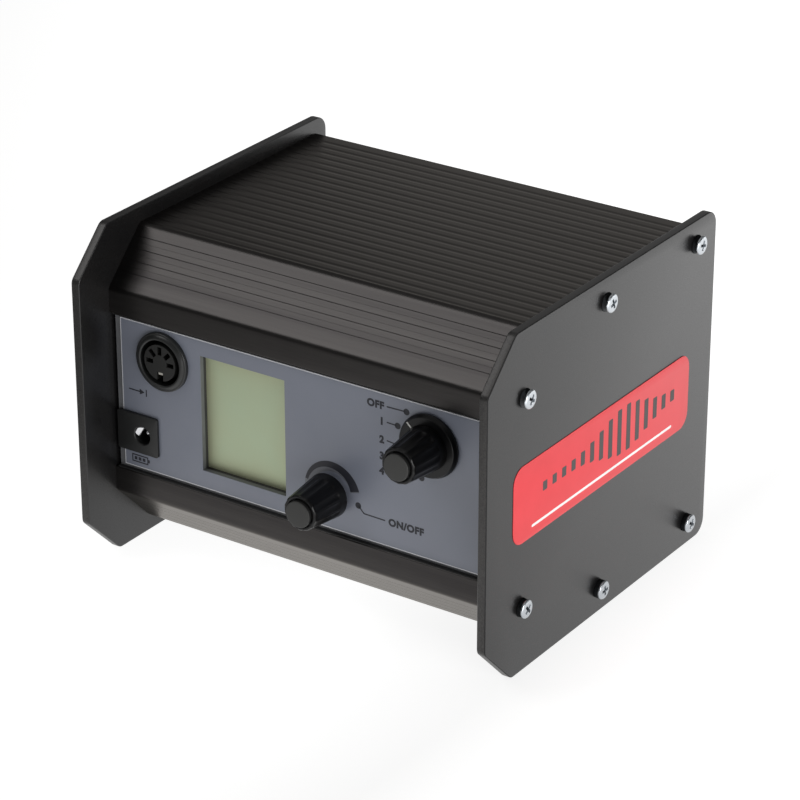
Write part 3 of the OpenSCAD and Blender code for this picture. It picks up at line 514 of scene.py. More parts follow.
plate_black = finish("plate_black", plate_recipe, IOR=1.55)
front, back = plate_low[1], plate_high[1]
top = plate_high[2]
plate_outline = np.array([
    [front, plate_chamfer],
    [front + plate_chamfer, 0],
    [back, 0],
    [back, top],
    [front + plate_chamfer, top],
    [front, top - plate_chamfer],
])
plate_radii = [plate_vertex, plate_vertex, plate_corner, plate_corner, plate_vertex, plate_vertex]
plate_levels = soft_edges(plate_low[0] - plate_high[0], 0, plate_bevel)
for side, word in ((-1, "left"), (1, "right")):
    rings = on_plate(slab(plate_outline, plate_radii, plate_levels, 8), 0, 0, side)
    add_piece(word + "_plate", [loft(rings)], plate_black, "end_plate_black", word + "_end_plate")

# %% [markdown]
# Zinc pan heads hold the plates. The head is a polar grid: a dome whose height falls with the
# radius, less a cross that is cut where the distance to either arm is negative. Below the dome the
# same rings run down the rim, under the head and along the shank.

# %% Plate screws
head_radius = 3.0
head_height = 2.4
head_side = 1.7
cross_reach = 1.6
cross_half_width = 0.42
cross_depth = 1.2
cross_slope = 0.22
head_edge = 0.15
shank_radius = 1.45
shank_length = 10.0
shank_tip = 0.3
mid_screw_step = 53.5
nose_screw_step = 13.8


def pan_head(turn):
    """Rings of one screw; dome h = side + rise (1 - (r/R)^5)^0.5, cross by the distance to its arms."""
    radius = np.linspace(0.02, 1, 44)[:, None] * head_radius
    angle = around(96)
    dome = head_side + (head_height - head_side) * (1 - (radius / head_radius) ** 5) ** 0.5
    along, across = np.abs(radius * np.cos(angle)), np.abs(radius * np.sin(angle))
    past_end = np.maximum(along, across) - cross_reach
    past_side = np.minimum(along, across) - cross_half_width
    arm = np.maximum(past_end, past_side)
    height = dome - cross_depth * np.clip(-arm / cross_slope, 0, 1) ** 0.7
    under = [
        (head_radius, head_edge),
        (head_radius - head_edge, 0),
        (shank_radius, 0),
        (shank_radius, 1 - shank_length),
        (shank_tip, -shank_length),
    ]
    return np.concatenate([polar(radius, angle + turn, height), lathe(under, 96)])


def head_recipe(place):
    """Zinc bright on the face; below the rim and in the cross it is painted dark as shade."""
    fine = place.noise(0.25)
    height = abs(place.axis("X")) - plate_high[0]
    face = height.spread(head_side - 0.3, head_side)
    bright = fine.tint((172, 177, 182), (198, 202, 206))
    # The dark tone below the face and in the cross is painted shade.
    return coat(face.tint((50, 52, 54), bright), 0.4 + 0.14 * fine - 0.2 * face, fine.bump(0.003))


head_zinc = finish("head_zinc", head_recipe, Metallic=1.0)
screw_low, screw_high = corners("right_plate_screws")
back_y, front_y = screw_high[1] - head_radius, screw_low[1] + head_radius
far_z = screw_high[2] - head_radius - mid_z
screw_places = [(back_y, far_z), (back_y - mid_screw_step, far_z), (front_y, far_z - nose_screw_step)]
for side, word in ((-1, "left"), (1, "right")):
    solids = []
    for number, (y, z) in enumerate(screw_places):
        for flip in (-1, 1):
            turn = math.radians(20 + 37 * number + 53 * flip)
            solids.append(loft(on_plate(pan_head(turn), y, mid_z + flip * z, side)))
    add_piece(word + "_screws", solids, head_zinc, "screw_zinc", word + "_plate_screws")

# %% [markdown]
# A red film label sits on the right plate. Its print is a plain row of flashes: dark bars whose
# heights swell and fall, over a thin white line.

# %% Side label
label_low, label_high = corners("side_label")
label_y, label_z = middle("side_label")[1:]
label_length, label_height = (label_high - label_low)[1:]
label_corner = 5.0
bar_count = 15
bar_width = 2.4
bar_raise = 1.5
swell_middle, swell_reach = 12.0, 17.0
line_tall = 0.9
film = label_high[0] - label_low[0]
ink = 0.03

label_red = grained("label_red", (214, 43, 51), (220, 48, 57), (0.34, 0.44), 0.3, 0.002)
label_dark = grained("label_dark", (46, 42, 43), (56, 52, 52), (0.4, 0.5), 0.3, 0.002)
label_white = grained("label_white", (236, 232, 230), (244, 241, 239), (0.4, 0.5), 0.3, 0.002)


def on_label(points):
    """Own X along the label, own Y up and own Z out of its film."""
    return on_plate(points + [0, 0, film], label_y, label_z, 1)


film_rings = slab(rectangle(label_length, label_height), label_corner, soft_edges(-film, 0, 0.06, 2))
add_piece("label_film", [loft(on_label(film_rings))], label_red, "label_red", "side_label")
print_levels = [(0, 0.0), (0, ink)]
bar_place = np.linspace(-0.33, 0.4, bar_count) * label_length
swell = np.exp(-((bar_place - swell_middle) / swell_reach) ** 2)
bars = [
    loft(on_label(slab(rectangle(bar_width, tall, x, bar_raise), 0.3, print_levels, 3)))
    for x, tall in zip(bar_place, label_height * (0.12 + 0.5 * swell))
]
add_piece("label_bars", bars, label_dark, "label_red")
line = slab(rectangle(0.8 * label_length, line_tall, 0, -0.36 * label_height), 0.4, print_levels, 4)
add_piece("label_line", [loft(on_label(line))], label_white, "label_red")

# %% [markdown]
# The shells are one aluminium profile, used twice. Its outline is a polygon with rounded corners;
# the flat and the facet between them carry grooves, which are a cosine dip around evenly spaced
# middles.

# %% Shell profile
nose_y, shell_back = shell_low[1], shell_high[1]
half_height = shell_high[2] - mid_z
lip_z = shell_low[2] - mid_z
window_low, window_high = corners("lamp_window")
sink_high = corners("heat_sink")[1]
sink_plate = 3.0
sink_front = sink_high[1] - sink_plate
wall = 2.5
slope = 16.4
facet_radius = 3.0
edge_radius = 0.35
sharp = 0.05
slide_gap = 0.1
groove_depth = 2.2
bar_tall = 4.5
lip_depth = shell_back - window_high[1]
lamp_z = window_high[2] - mid_z - groove_depth + slide_gap
front_bar = panel_high[1] - nose_y + slide_gap + wall
rear_bar = shell_back - sink_front + slide_gap + wall
rib_margin = 6.0
rib_pitch = 4.13
rib_depth = 0.12
rib_half_width = 1.3
facet_pitch = 2.05
facet_raise = 1.0
facet_count = 7
strong_line, fine_line = (0.13, 0.045), (0.1, 0.02)


def dips(s, middles, half_widths, depths):
    """Depth at s of cosine grooves: depth (1 + cos(pi gap / half width)) / 2 near each middle."""
    nearest = np.abs(s[:, None] - middles[None]).argmin(axis=1)
    gap = np.abs(s - middles[nearest]) / half_widths[nearest]
    return depths[nearest] * (1 + np.cos(np.pi * np.clip(gap, 0, 1))) / 2


def grooved(start, end, middles, half_widths, depths, count):
    """Straight stretch from start to end, dipped to its right by grooves counted from the start."""
    s = np.linspace(0, np.linalg.norm(end - start), count)
    ahead = unit(end - start)
    down = np.array([ahead[1], -ahead[0]])
    return start + s[:, None] * ahead + dips(s, middles, half_widths, depths)[:, None] * down


def holder(y_near, y_far, edge):
    """Four corners of a groove between two depths, cut up from an edge."""
    return [[y_near, edge], [y_near, edge + groove_depth], [y_far, edge + groove_depth], [y_far, edge]]


step = wall * (math.sqrt(2) - 1)
shell_corners = np.array([
    [nose_y, lip_z],
    [nose_y, half_height - slope],
    [nose_y + slope, half_height],
    [shell_back, half_height],
    [shell_back, lamp_z],
    *holder(shell_back - lip_depth, window_low[1] - slide_gap, lamp_z),
    *holder(sink_high[1] + slide_gap, sink_front - slide_gap, lamp_z),
    [shell_back - rear_bar, lamp_z],
    [shell_back - rear_bar, lamp_z + bar_tall],
    [shell_back - wall, lamp_z + bar_tall],
    [shell_back - wall, half_height - wall],
    [nose_y + slope + step, half_height - wall],
    [nose_y + wall, half_height - slope - step],
    [nose_y + wall, lip_z + bar_tall],
    [nose_y + front_bar, lip_z + bar_tall],
    [nose_y + front_bar, lip_z],
    *holder(panel_high[1] + slide_gap, panel_y - slide_gap, lip_z),
])
shell_radii = np.full(len(shell_corners), sharp)
shell_radii[[0, 4]] = edge_radius
shell_radii[[1, 2]] = facet_radius
shell_radii[3] = wall / 2
turns = arcs(shell_corners, shell_radii, 8)
facet_start, facet_end = turns[1, -1], turns[2, 0]
facet_length = np.linalg.norm(facet_end - facet_start)
facet_number = np.arange(facet_count)
facet_middles = facet_length / 2 + facet_raise + (facet_number - (facet_count - 1) / 2) * facet_pitch
facet_lines = np.where((facet_number % 2 == 0)[:, None], strong_line, fine_line)
facet = grooved(facet_start, facet_end, facet_middles, *facet_lines.T, 420)
flat_start, flat_end = turns[2, -1], turns[3, 0]
first_rib = shell_back - rib_margin
rib_count = int((first_rib - flat_start[0]) / rib_pitch) + 1
rib_middles = first_rib - np.arange(rib_count)[::-1] * rib_pitch - flat_start[0]
rib_lines = np.full((2, rib_count), [[rib_half_width], [rib_depth]])
flat = grooved(flat_start, flat_end, rib_middles, *rib_lines, 460)
print(rib_count, "ribs and", facet_count, "lines on a facet")

# %% [markdown]
# The outline is carried straight along X, as the die did. The lower shell is left open over the
# thread of the tripod bush, whose collar hides the edges of the square opening.

# %% Shells
thread_radius = 2.55
bush_x, bush_y = middle("tripod_bush")[:2]
edge_y = bush_y + np.array([-1, 1]) * thread_radius
edges = np.column_stack([edge_y, np.interp(edge_y, flat[:, 0], flat[:, 1])])
before, over, behind = np.split(flat[1:-1], np.searchsorted(flat[1:-1, 0], edge_y))
inner_edges = [[y, half_height - wall] for y in edge_y[::-1]]
stretches = [
    turns[:2].reshape(-1, 2), facet[1:-1], turns[2], before, edges[:1], over, edges[1:], behind,
    turns[3:17].reshape(-1, 2), inner_edges, turns[17:].reshape(-1, 2),
]
profile = np.concatenate(stretches)
starts = np.cumsum([0] + [len(stretch) for stretch in stretches])
near_edge, far_edge, far_inner = starts[4], starts[6], starts[9]
near_inner = far_inner + 1
print("shell profile of", len(profile), "points")


def case_rings(stations, up):
    """The profile at each station along X, upright or turned over."""
    return np.stack([
        np.column_stack([np.full(len(profile), x), profile[:, 0], mid_z + up * profile[:, 1]])
        for x in stations])


shell_bronze = grained("shell_bronze", (55, 53, 53), (68, 66, 65), (0.26, 0.38), 0.12, 0.002,
                       stretch=(60, 1, 1), Metallic=1.0, Specular_Tint=(1.0, 0.97, 0.93, 1.0))
left_end, right_end = shell_low[0], shell_high[0]
upper = loft(case_rings([left_end, right_end], 1))
add_piece("upper_case", [upper], shell_bronze, "shell_anodised", "upper_shell", crease=30)
stations = [left_end, bush_x - thread_radius, bush_x + thread_radius, right_end]
points, faces = loft(case_rings(stations, -1))
one, two = len(profile), 2 * len(profile)
opened = {one + k for k in [*range(near_edge, far_edge), far_inner]}
mouth = np.array([*range(near_edge, far_edge + 1), far_inner, near_inner])
hole = [
    (one + mouth).tolist(),
    (two + mouth).tolist(),
    [one + near_edge, one + near_inner, two + near_inner, two + near_edge],
    [one + far_edge, one + far_inner, two + far_inner, two + far_edge],
]
lower = points, [face for k, face in enumerate(faces) if k not in opened] + hole
add_piece("lower_case", [lower], shell_bronze, "shell_anodised", "lower_shell", crease=30)

# %% [markdown]
# The panel is bare aluminium and its overlay a grey-blue printed film. Both keep their CAD shape
# with its cut-outs. The film's light edge line is a painted highlight, drawn by the material: it
# shows where the distance to the film's border is less than the line's width.

# %% Panel and overlay
highlight_width = 0.3
overlay_middle = (overlay_low + overlay_high) / 2
overlay_half = (overlay_high - overlay_low) / 2


def overlay_recipe(place):
    """Grey-blue film with a fine tooth; a painted highlight line is where |x| or |z| comes near the
    edge.
    """
    across = abs(place.axis("X") - overlay_middle[0]) - overlay_half[0]
    upwards = abs(place.axis("Z") - overlay_middle[2]) - overlay_half[2]
    # This mask paints a highlight along the film's edge.
    edge_highlight = place.maths("MAXIMUM", across, upwards).over(-highlight_width)
    tooth = place.noise(0.22)
    drift = place.noise(14.0)
    blue = (0.5 * drift + 0.5 * tooth).spread(0.3, 0.7).tint((109, 114, 127), (117, 121, 133))
    gloss = 0.36 + 0.12 * tooth - 0.1 * edge_highlight
    return coat(edge_highlight.tint(blue, (205, 206, 210)), gloss, tooth.bump(0.003))


overlay_film = finish("overlay_film", overlay_recipe, Specular_IOR_Level=0.8)
panel_metal = grained("panel_metal", (104, 105, 108), (116, 117, 120), (0.42, 0.54), 0.1, 0.002,
                      stretch=(80, 1, 1), Metallic=0.3)
dress(overlay_film, "panel_overlay")
dress(panel_metal, "front_panel")
print("overlay from", np.round(overlay_low, 2), "to", np.round(overlay_high, 2))

# %% [markdown]
# The print on the film is plain: dots, leader lines, a swelling ring around the push knob, numbers
# and the words OFF and ON/OFF, and two pictograms. Each mark is a thin slab of ink, so it stays
# crisp from any distance. Letters start as a text object and are taken over as a mesh.

# %% Ink
selector_x, _, selector_z = middle("selector_cap")
encoder_x, _, encoder_z = middle("encoder_cap")
ink_low = panel_y - overlay_y + 0.01
ink_levels = [(0, ink_low), (0, ink_low + ink)]
dot_radius = 1.05
dot_circle = 12.0
first_turn, turn_step = 135, 30
stroke = 0.42
label_edge = 29.4
leader_start = 30.4
letter_height = 2.3
letter_spacing = 1.1
letter_weight = 0.055
cap_share = 0.71
label_rows = [77.1, 72.0, 66.0, 60.6, 55.6]
leader_end = 36.8
push_dot = np.array([19.97, 41.44])
push_knee = np.array([22.1, 39.3])
push_end = np.array([29.8, 39.2])
push_word = 31.0
band_inner, band_outer = 7.0, 10.2
band_width = np.linspace(3.3, 1.0, 60)
dark_sweep, pale_sweep = (16, 168), (14, 182)


def strip(start, end, width):
    """Corners of a rectangle of a width along the way from start to end."""
    start, end = np.array(start, float), np.array(end, float)
    ahead = unit(end - start) * width / 2
    side = np.array([-ahead[1], ahead[0]])
    return np.array([start - side, end - side, end + side, start + side])


def mark(outline, radius=0.02, steps=3):
    """Slab of ink over a convex outline given in panel coordinates."""
    return loft(on_panel(slab(outline, radius, ink_levels, steps), 0, 0))


def dot(x, z, radius):
    """Round spot: a square whose corners are rounded until they meet."""
    return mark(rectangle(2 * radius, 2 * radius, x, z), 0.999 * radius, 8)


def stroke_between(start, end):
    """Line of even width from start to end."""
    return mark(strip(start, end, stroke), 0.15)


def ring_sector(inner, outer, sweep, low, count=60):
    """Part of a ring of ink about the push knob; inner and outer radii may change along it."""
    way = ways(np.radians(np.linspace(*sweep, count)))
    near = way * np.broadcast_to(inner, count)[:, None]
    far = way * np.broadcast_to(outer, count)[:, None]
    section = np.stack([near, far, far, near], axis=1)
    heights = np.broadcast_to([[low], [low], [low + ink], [low + ink]], (count, 4, 1))
    return loft(on_panel(np.concatenate([section, heights], axis=2), encoder_x, encoder_z))


def lettering(text, x, z, align):
    """Text in the plain built-in face, set against x and centred on z."""
    curve = bpy.data.curves.new("lettering", "FONT")
    curve.body = text
    curve.align_x = align
    curve.size = letter_height / cap_share
    curve.offset = letter_weight * letter_height / cap_share
    curve.space_character = letter_spacing
    curve.extrude = ink / 2
    writer = bpy.data.objects.new("lettering", curve)
    mesh = writer.to_mesh()
    points = np.empty(3 * len(mesh.vertices))
    mesh.vertices.foreach_get("co", points)
    faces = [list(p.vertices) for p in mesh.polygons]
    writer.to_mesh_clear()
    bpy.data.objects.remove(writer)
    bpy.data.curves.remove(curve)
    own = points.reshape(-1, 3) + [0, -letter_height / 2, ink_low + ink / 2]
    return on_panel(own, x, z), faces


print("a dot of ink has", len(dot(0, 0, dot_radius)[1]), "faces")

# %% [markdown]
# A dot marks each position of the selector, with a leader line to its number. One more dot sits at
# the push knob, whose dark ring grows narrower along its way.

# %% Panel print
marks = []
dot_ways = ways(np.radians(first_turn + turn_step * np.arange(5)))
for word, row, way in zip(("OFF", "1", "2", "3", "4"), label_rows, dot_ways):
    spot = np.array([selector_x, selector_z]) + dot_circle * way
    marks += [
        dot(*spot, dot_radius),
        stroke_between((leader_start, row), (min(spot[0] - 0.5, leader_end), spot[1])),
        lettering(word, label_edge, row, "RIGHT"),
    ]
marks += [
    dot(*push_dot, dot_radius),
    stroke_between(push_dot, push_knee),
    stroke_between(push_knee - [0.1, 0], push_end),
    lettering("ON/OFF", push_word, push_end[1], "LEFT"),
    ring_sector(band_outer - band_width, band_outer, dark_sweep, ink_low + ink),
]
print("marks in ink:", len(marks))

# %% [markdown]
# Two pictograms stand under the sockets: an arrow that enters a wall, and a battery. The knob's
# pale ring lies under the dark one.

# %% Pictograms and pale ring
arrow_x, arrow_z = -67.0, 57.5
arrow_length = 6.2
arrow_tip = arrow_x + arrow_length
arrow_head = np.array([[-1.9, -1.0], [0, 0], [-1.9, 1.0]]) + [arrow_tip, arrow_z]
wall_tall = 2.4
cell_x, cell_z = -63.5, 33.8
cell_width, cell_tall = 6.4, 2.3
nub_width, nub_tall = 0.6, 1.1
charge_size = 1.1
charge_start, charge_pitch = -1.7, 1.6
marks += [
    stroke_between((arrow_x, arrow_z), (arrow_tip - 1.6, arrow_z)),
    mark(arrow_head, 0.1),
    mark(rectangle(stroke, wall_tall, arrow_tip + 0.7, arrow_z), 0.1),
]
for side in (-1, 1):
    long_z = cell_z + side * cell_tall / 2
    short_x = cell_x + side * (cell_width - stroke) / 2
    marks.append(mark(rectangle(cell_width, stroke, cell_x, long_z), 0.1))
    marks.append(mark(rectangle(stroke, cell_tall - stroke, short_x, cell_z), 0.05))
marks.append(mark(rectangle(nub_width, nub_tall, cell_x + (cell_width + nub_width) / 2, cell_z), 0.1))
for number in range(3):
    charge_x = cell_x + charge_start + charge_pitch * number
    marks.append(mark(rectangle(charge_size, charge_size, charge_x, cell_z), 0.1))

print_ink = grained("print_ink", (24, 25, 33), (31, 32, 41), (0.5, 0.6), 0.2, 0.002)
pale_ink = grained("pale_ink", (96, 98, 104), (104, 106, 112), (0.4, 0.5), 0.2, 0.002)
add_piece("panel_print", marks, print_ink, "overlay_print")
pale_ring = ring_sector(band_inner, band_outer, pale_sweep, ink_low)
add_piece("push_ring", [pale_ring], pale_ink, "overlay_print")

# %% [markdown]
# The display is a blank reflective liquid crystal: grey-green, a little yellower towards its rim,
# with a barely visible grid of cells. It lies deep behind the film, in a grey gasket, so its edges
# fall into shade by themselves.

# %% Display
glass_middle = middle("display_glass")
window_half = np.array([15.95, 19.5])
cell_pitch = 0.5


def display_recipe(place):
    """Green-grey that yellows with the fourth power of the distance to the rim, under a cell grid."""
    across = abs(place.axis("X") - glass_middle[0]) / window_half[0]
    upwards = abs(place.axis("Z") - glass_middle[2]) / window_half[1]
    rim = place.maths("MAXIMUM", across, upwards)
    drift = place.noise(9.0)
    yellowed = (place.maths("POWER", rim, 4.0) + 0.4 * drift).spread(0.1, 1.2)
    field = yellowed.tint((182, 196, 167), (190, 194, 161))
    lines = [place.maths("FRACT", place.axis(a) / cell_pitch).over(0.9) for a in "XZ"]
    grid = place.maths("MAXIMUM", *lines)
    return coat((0.06 * grid).tint(field, (70, 80, 60)), 0.5 + 0.08 * drift, drift.bump(0.004))


display_glass = finish("display_crystal", display_recipe, Metallic=0.6)
gasket_grey = grained("gasket_grey", (46, 46, 45), (54, 54, 52), (0.7, 0.85), 0.3, 0.02)
seal_shade_black = grained("seal_shade_black", (17, 17, 17), (23, 23, 23), (0.7, 0.85), 0.3, 0.02)
dress(display_glass, "display_glass")
dress(gasket_grey, "display_gasket")
# The panel seals are painted near black as the shade in the gap under the panel.
dress(seal_shade_black, "panel_seals")
print("display glass at y =", round(glass_middle[1], 2))

# %% [markdown]
# The round socket has a turned black shell: a sleeve with a floor, a straight opening, a front face
# that slopes outwards from a crest near the opening, a small step and a rolled rim. The core with its
# slots and its key keeps its CAD shape.

# %% Input socket
din_x, _, din_z = middle("input_socket_shell")
din_low, din_high = corners("input_socket_shell")
flange_radius = (din_high[0] - din_low[0]) / 2
flange_foot = panel_y - overlay_y
flange_front = panel_y - din_low[1]
sleeve_back = panel_y - din_high[1]
sleeve_radius = 8.3
core_radius = 6.05
floor_thick = 4.0
opening_radius = 7.5
crest_radius = 8.1
ring_radius = 9.1
ring_drop = 0.5
ring_step = 0.12
tab_low = 2.6

rim_round = 0.45
rim_top = flange_front - ring_drop - ring_step
socket_profile = [
    (core_radius, sleeve_back),
    (core_radius, sleeve_back + floor_thick),
    (opening_radius, sleeve_back + floor_thick),
    (opening_radius, flange_front - 0.25),
    (opening_radius + 0.2, flange_front - 0.05),
    (crest_radius, flange_front),
    (ring_radius - 0.05, flange_front - ring_drop),
    (ring_radius, rim_top),
    *round_edge((flange_radius - rim_round, rim_top - rim_round), rim_round, 90, 0, 6),
    (flange_radius, flange_foot),
    (sleeve_radius, flange_foot),
    (sleeve_radius, sleeve_back),
]
socket_rings = on_panel(lathe(socket_profile), din_x, din_z)
socket_core = grained("socket_core", (9, 9, 8), (15, 15, 13), (0.5, 0.62), 0.2, 0.004)
socket_black = grained("socket_black", (22, 23, 23), (28, 29, 29), (0.3, 0.42), 0.2, 0.004)


def contact_recipe(place):
    """Painted dark as the shade in the slots, and bright on the tab in the key, which lies lower."""
    fine = place.noise(0.2)
    tab = place.axis("Z").spread(din_z - tab_low, din_z - tab_low - 0.3)
    # The dark tone of the contacts is painted shade in their slots.
    colour = tab.tint((30, 29, 27), (206, 203, 195))
    return coat(colour, 0.45 - 0.2 * tab + 0.1 * fine, fine.bump(0.003))


contact_metal = grained("contact_metal", (202, 198, 188), (228, 225, 216), (0.2, 0.35), 0.2, 0.003,
                        Metallic=1.0)
add_piece("socket_rim", [tube(socket_rings)], socket_black, "socket_plastic", "input_socket_shell")
dress(socket_core, "input_socket_core")
dress(finish("socket_contacts", contact_recipe, Metallic=1.0), "input_socket_contacts")

# %% [markdown]
# The charge socket is a moulded block with a bore. Its front is one stack of rings that starts as
# a rounded rectangle behind the panel, steps out to the flange, and turns into the bore's circle. The
# rectangle's rings start on their left side, so the circle's are given half a turn.

# %% Charge socket
jack_low, jack_high = corners("charge_socket_body")
pin_x, _, pin_z = middle("charge_socket_pin")
jack_middle = (jack_low + jack_high) / 2
jack_front = panel_y - jack_low[1]
jack_foot = panel_y - overlay_y
jack_back = panel_y - jack_high[1]
bore_radius = 3.0
bore_edge = 0.25
bore_floor = jack_back + 2.0
body_width, body_tall = 11.0, 10.9
corner_steps = 15

shift = (jack_middle - [pin_x, 0, pin_z])[[0, 2]]
outer = rectangle(jack_high[0] - jack_low[0], jack_high[2] - jack_low[2], *shift)
inner = rectangle(body_width, body_tall)
flange = slab(outer, 0.8, soft_edges(jack_foot, jack_front, 0.12)[3:], corner_steps)
neck = slab(inner, 0.5, [(0, jack_back), (0, jack_foot)], corner_steps)
bore_profile = [
    (bore_radius + bore_edge, jack_front),
    (bore_radius, jack_front - bore_edge),
    (bore_radius, bore_floor),
]
half_turned = lathe(bore_profile, flange.shape[1]) * [-1, -1, 1]
jack_rings = np.concatenate([neck, flange, half_turned])
jack_black = grained("jack_black", (19, 20, 20), (25, 26, 26), (0.34, 0.46), 0.25, 0.004)
add_piece("charge_block", [loft(on_panel(jack_rings, pin_x, pin_z))], jack_black, "socket_plastic",
          "charge_socket_body")
bright_metal = grained("bright_metal", (196, 197, 200), (226, 226, 228), (0.15, 0.3), 0.2, 0.002,
                       Metallic=1.0)
dress(bright_metal, "charge_socket_pin", "selector_shaft", "encoder_shaft", "encoder_plunger")

# %% [markdown]
# A leaf of bright metal presses on the plug from the upper left. It is a strip whose path bulges
# from the bore's wall and comes back to it, like one wave of a sine squared, and whose ends are round.

# %% Charge socket leaf
leaf_turn = math.radians(150)
leaf_reach = 1.6
leaf_wide = 3.8
leaf_thick = 0.3
leaf_front = jack_front - 0.1
leaf_length = 3.2


def leaf_rings():
    """Rings across a tongue: r = R - reach sin^2(pi t), h = front - length t, width sqrt(sin(pi t))."""
    share = np.linspace(0, 1, 30)
    radius = bore_radius - leaf_thick / 2 - leaf_reach * np.sin(np.pi * share) ** 2
    height = leaf_front - leaf_length * share
    ahead = unit(np.stack([np.gradient(radius), np.gradient(height)], axis=1))
    across = np.stack([ahead[:, 1], -ahead[:, 0]], axis=1) * leaf_thick / 2
    path = np.stack([radius, height], axis=1)
    section = np.stack([path - across, path + across, path + across, path - across], axis=1)
    half_width = np.sqrt(np.sin(np.pi * np.clip(share, 0.01, 0.99))) * leaf_wide / 2
    sideways = half_width[:, None] * [-1, -1, 1, 1]
    radial = ways(leaf_turn)
    tangent = np.array([-radial[1], radial[0]])
    flat = section[..., :1] * radial + sideways[..., None] * tangent
    return np.concatenate([flat, section[..., 1:]], axis=2)


add_piece("charge_leaf", [loft(on_panel(leaf_rings(), pin_x, pin_z))], bright_metal, "steel",
          "charge_socket_spring", crease=50)

# %% [markdown]
# Both knobs are the same tapered cap with fourteen flutes. One profile runs from the recess in the
# front over the rim, down the wall and into the hollow foot; along the wall each ring's radius is
# reduced by the flutes, which end in a round runout above the plain rim at the foot.

# %% Knob shape
knob_foot, knob_tip = 7.25, 5.8
knob_length = 14.6
knob_round = 0.55
foot_round = 0.3
knob_hollow = 4.9
hollow_depth = 3.0
flutes = 14
flute_half_width = 1.1
flute_depth = 0.5
flute_start = 3.0
flute_runout = 1.6
flute_fade = 0.7
cap_radius = 4.3
cap_gap = 0.3
cap_edge = 0.25
cap_crown = 0.1
recess_edge = 0.12
cap_sink = 1.2
cap_proud = 1.2


def knob_rings():
    """Rings of a knob: r = wall(h) - depth (1 - (arc / half width)^2) runout(h) in the flutes."""
    shoulder = round_edge((knob_tip - knob_round, knob_length - knob_round), knob_round, 90, 0, 6)
    high = np.linspace(knob_length - knob_round, foot_round, 60)[1:]
    side = np.column_stack([knob_foot + (knob_tip - knob_foot) * high / knob_length, high])
    foot = round_edge((knob_foot - foot_round, foot_round), foot_round, 0, -90, 6)[1:]
    recess = cap_radius + cap_gap
    front = [
        (recess - cap_gap, knob_length - cap_sink),
        (recess, knob_length - cap_sink),
        (recess, knob_length - recess_edge),
        (recess + recess_edge, knob_length),
    ]
    hollow = [(knob_hollow, 0), (knob_hollow, hollow_depth)]
    outline = np.concatenate([front, shoulder, side, foot, hollow])
    rings = lathe(outline, 16 * flutes)
    gap = np.abs((around(16 * flutes) * flutes / TURN + 0.5) % 1 - 0.5) * TURN / flutes
    radius, height = outline[:, :1], outline[:, 1:]
    runout = np.sqrt(np.clip((height - flute_start) / flute_runout, 0, 1))
    runout = runout * (1 - flute_fade * height / knob_length)
    on_wall = radius > knob_tip - 0.6 * knob_round
    cut = flute_depth * np.clip(1 - (gap * radius / flute_half_width) ** 2, 0, 1) * runout * on_wall
    rings[..., :2] *= (1 - cut / radius)[..., None]
    return rings


def cap_rings(top):
    """Rings of a cap: a disc with a quarter round edge and a crown of a tenth of a millimetre."""
    edge = round_edge((cap_radius - cap_edge, top - cap_crown - cap_edge), cap_edge, 0, 90, 5)
    crown = np.linspace(cap_radius - 2 * cap_edge, 0.1, 12)
    dome = np.column_stack([crown, top - cap_crown * (crown / cap_radius) ** 2])
    return lathe([(cap_radius, top - cap_proud - 1.0), *edge, *dome])


print("a knob has", len(knob_rings()), "rings")

# %% [markdown]
# The caps in the knobs are grey with a fine grain, and their side is painted black as the shade
# in the gap around it. Both knobs stand as far out as their CAD nodes do.

# %% Knobs


def cap_recipe(place):
    """Grey face with a fine grain; the side is painted black as shade, told apart by the depth behind
    the front.
    """
    fine = place.noise(0.2)
    front = corners("selector_cap")[0][1]
    face = place.axis("Y").spread(front + 0.5, front + 0.25)
    grey = fine.tint((37, 37, 36), (45, 45, 43))
    # The black of the cap's side is painted shade.
    return coat(face.tint((6, 6, 6), grey), 0.5 + 0.12 * fine, fine.bump(0.006))


knob_black = grained("knob_black", (4, 4, 5), (7, 7, 8), (0.26, 0.36), 0.15, 0.003,
                     Specular_IOR_Level=0.3)
cap_grey = finish("cap_grey", cap_recipe)
for word, body, x, z in (("selector", "selector", selector_x, selector_z),
                         ("encoder", "encoder_dial", encoder_x, encoder_z)):
    cap_front = panel_y - corners(word + "_cap")[0][1]
    lift = np.array([0, 0, cap_front - knob_length - cap_proud])
    grip = loft(on_panel(knob_rings() + lift, x, z))
    button = loft(on_panel(cap_rings(knob_length + cap_proud) + lift, x, z))
    add_piece(word + "_grip", [grip], knob_black, "knob_black", word + "_knob", body=body, crease=50)
    add_piece(word + "_button", [button], cap_grey, "cap_grey", word + "_cap", body=body)

# %% [markdown]
# The selector stands on a black disc with a sloping rim and a white pointer line. The line points
# to OFF at rest, and the disc turns with the knob.

# %% Pointer disc
skirt_low, skirt_high = corners("selector_skirt")
skirt_foot, skirt_top = panel_y - skirt_high[1], panel_y - skirt_low[1]
skirt_radius = (skirt_high[0] - skirt_low[0]) / 2
skirt_slope = 0.6
skirt_edge = 0.15
skirt_side = 0.75
pointer_angle = math.radians(first_turn)
pointer_start, pointer_end = 7.35, 9.45
pointer_width = 0.5
skirt_profile = [
    (knob_hollow, skirt_foot),
    (skirt_radius - skirt_edge, skirt_foot),
    (skirt_radius, skirt_foot + skirt_edge),
    (skirt_radius, skirt_foot + skirt_side),
    (skirt_radius - 0.1, skirt_foot + skirt_side + skirt_edge),
    (skirt_radius - skirt_slope, skirt_top - 0.1),
    (skirt_radius - skirt_slope - skirt_edge, skirt_top),
    (knob_hollow, skirt_top),
]
skirt_rings = on_panel(lathe(skirt_profile), selector_x, selector_z)
add_piece("pointer_disc", [tube(skirt_rings)], knob_black, "knob_black", "selector_skirt",
          body="selector", crease=25)
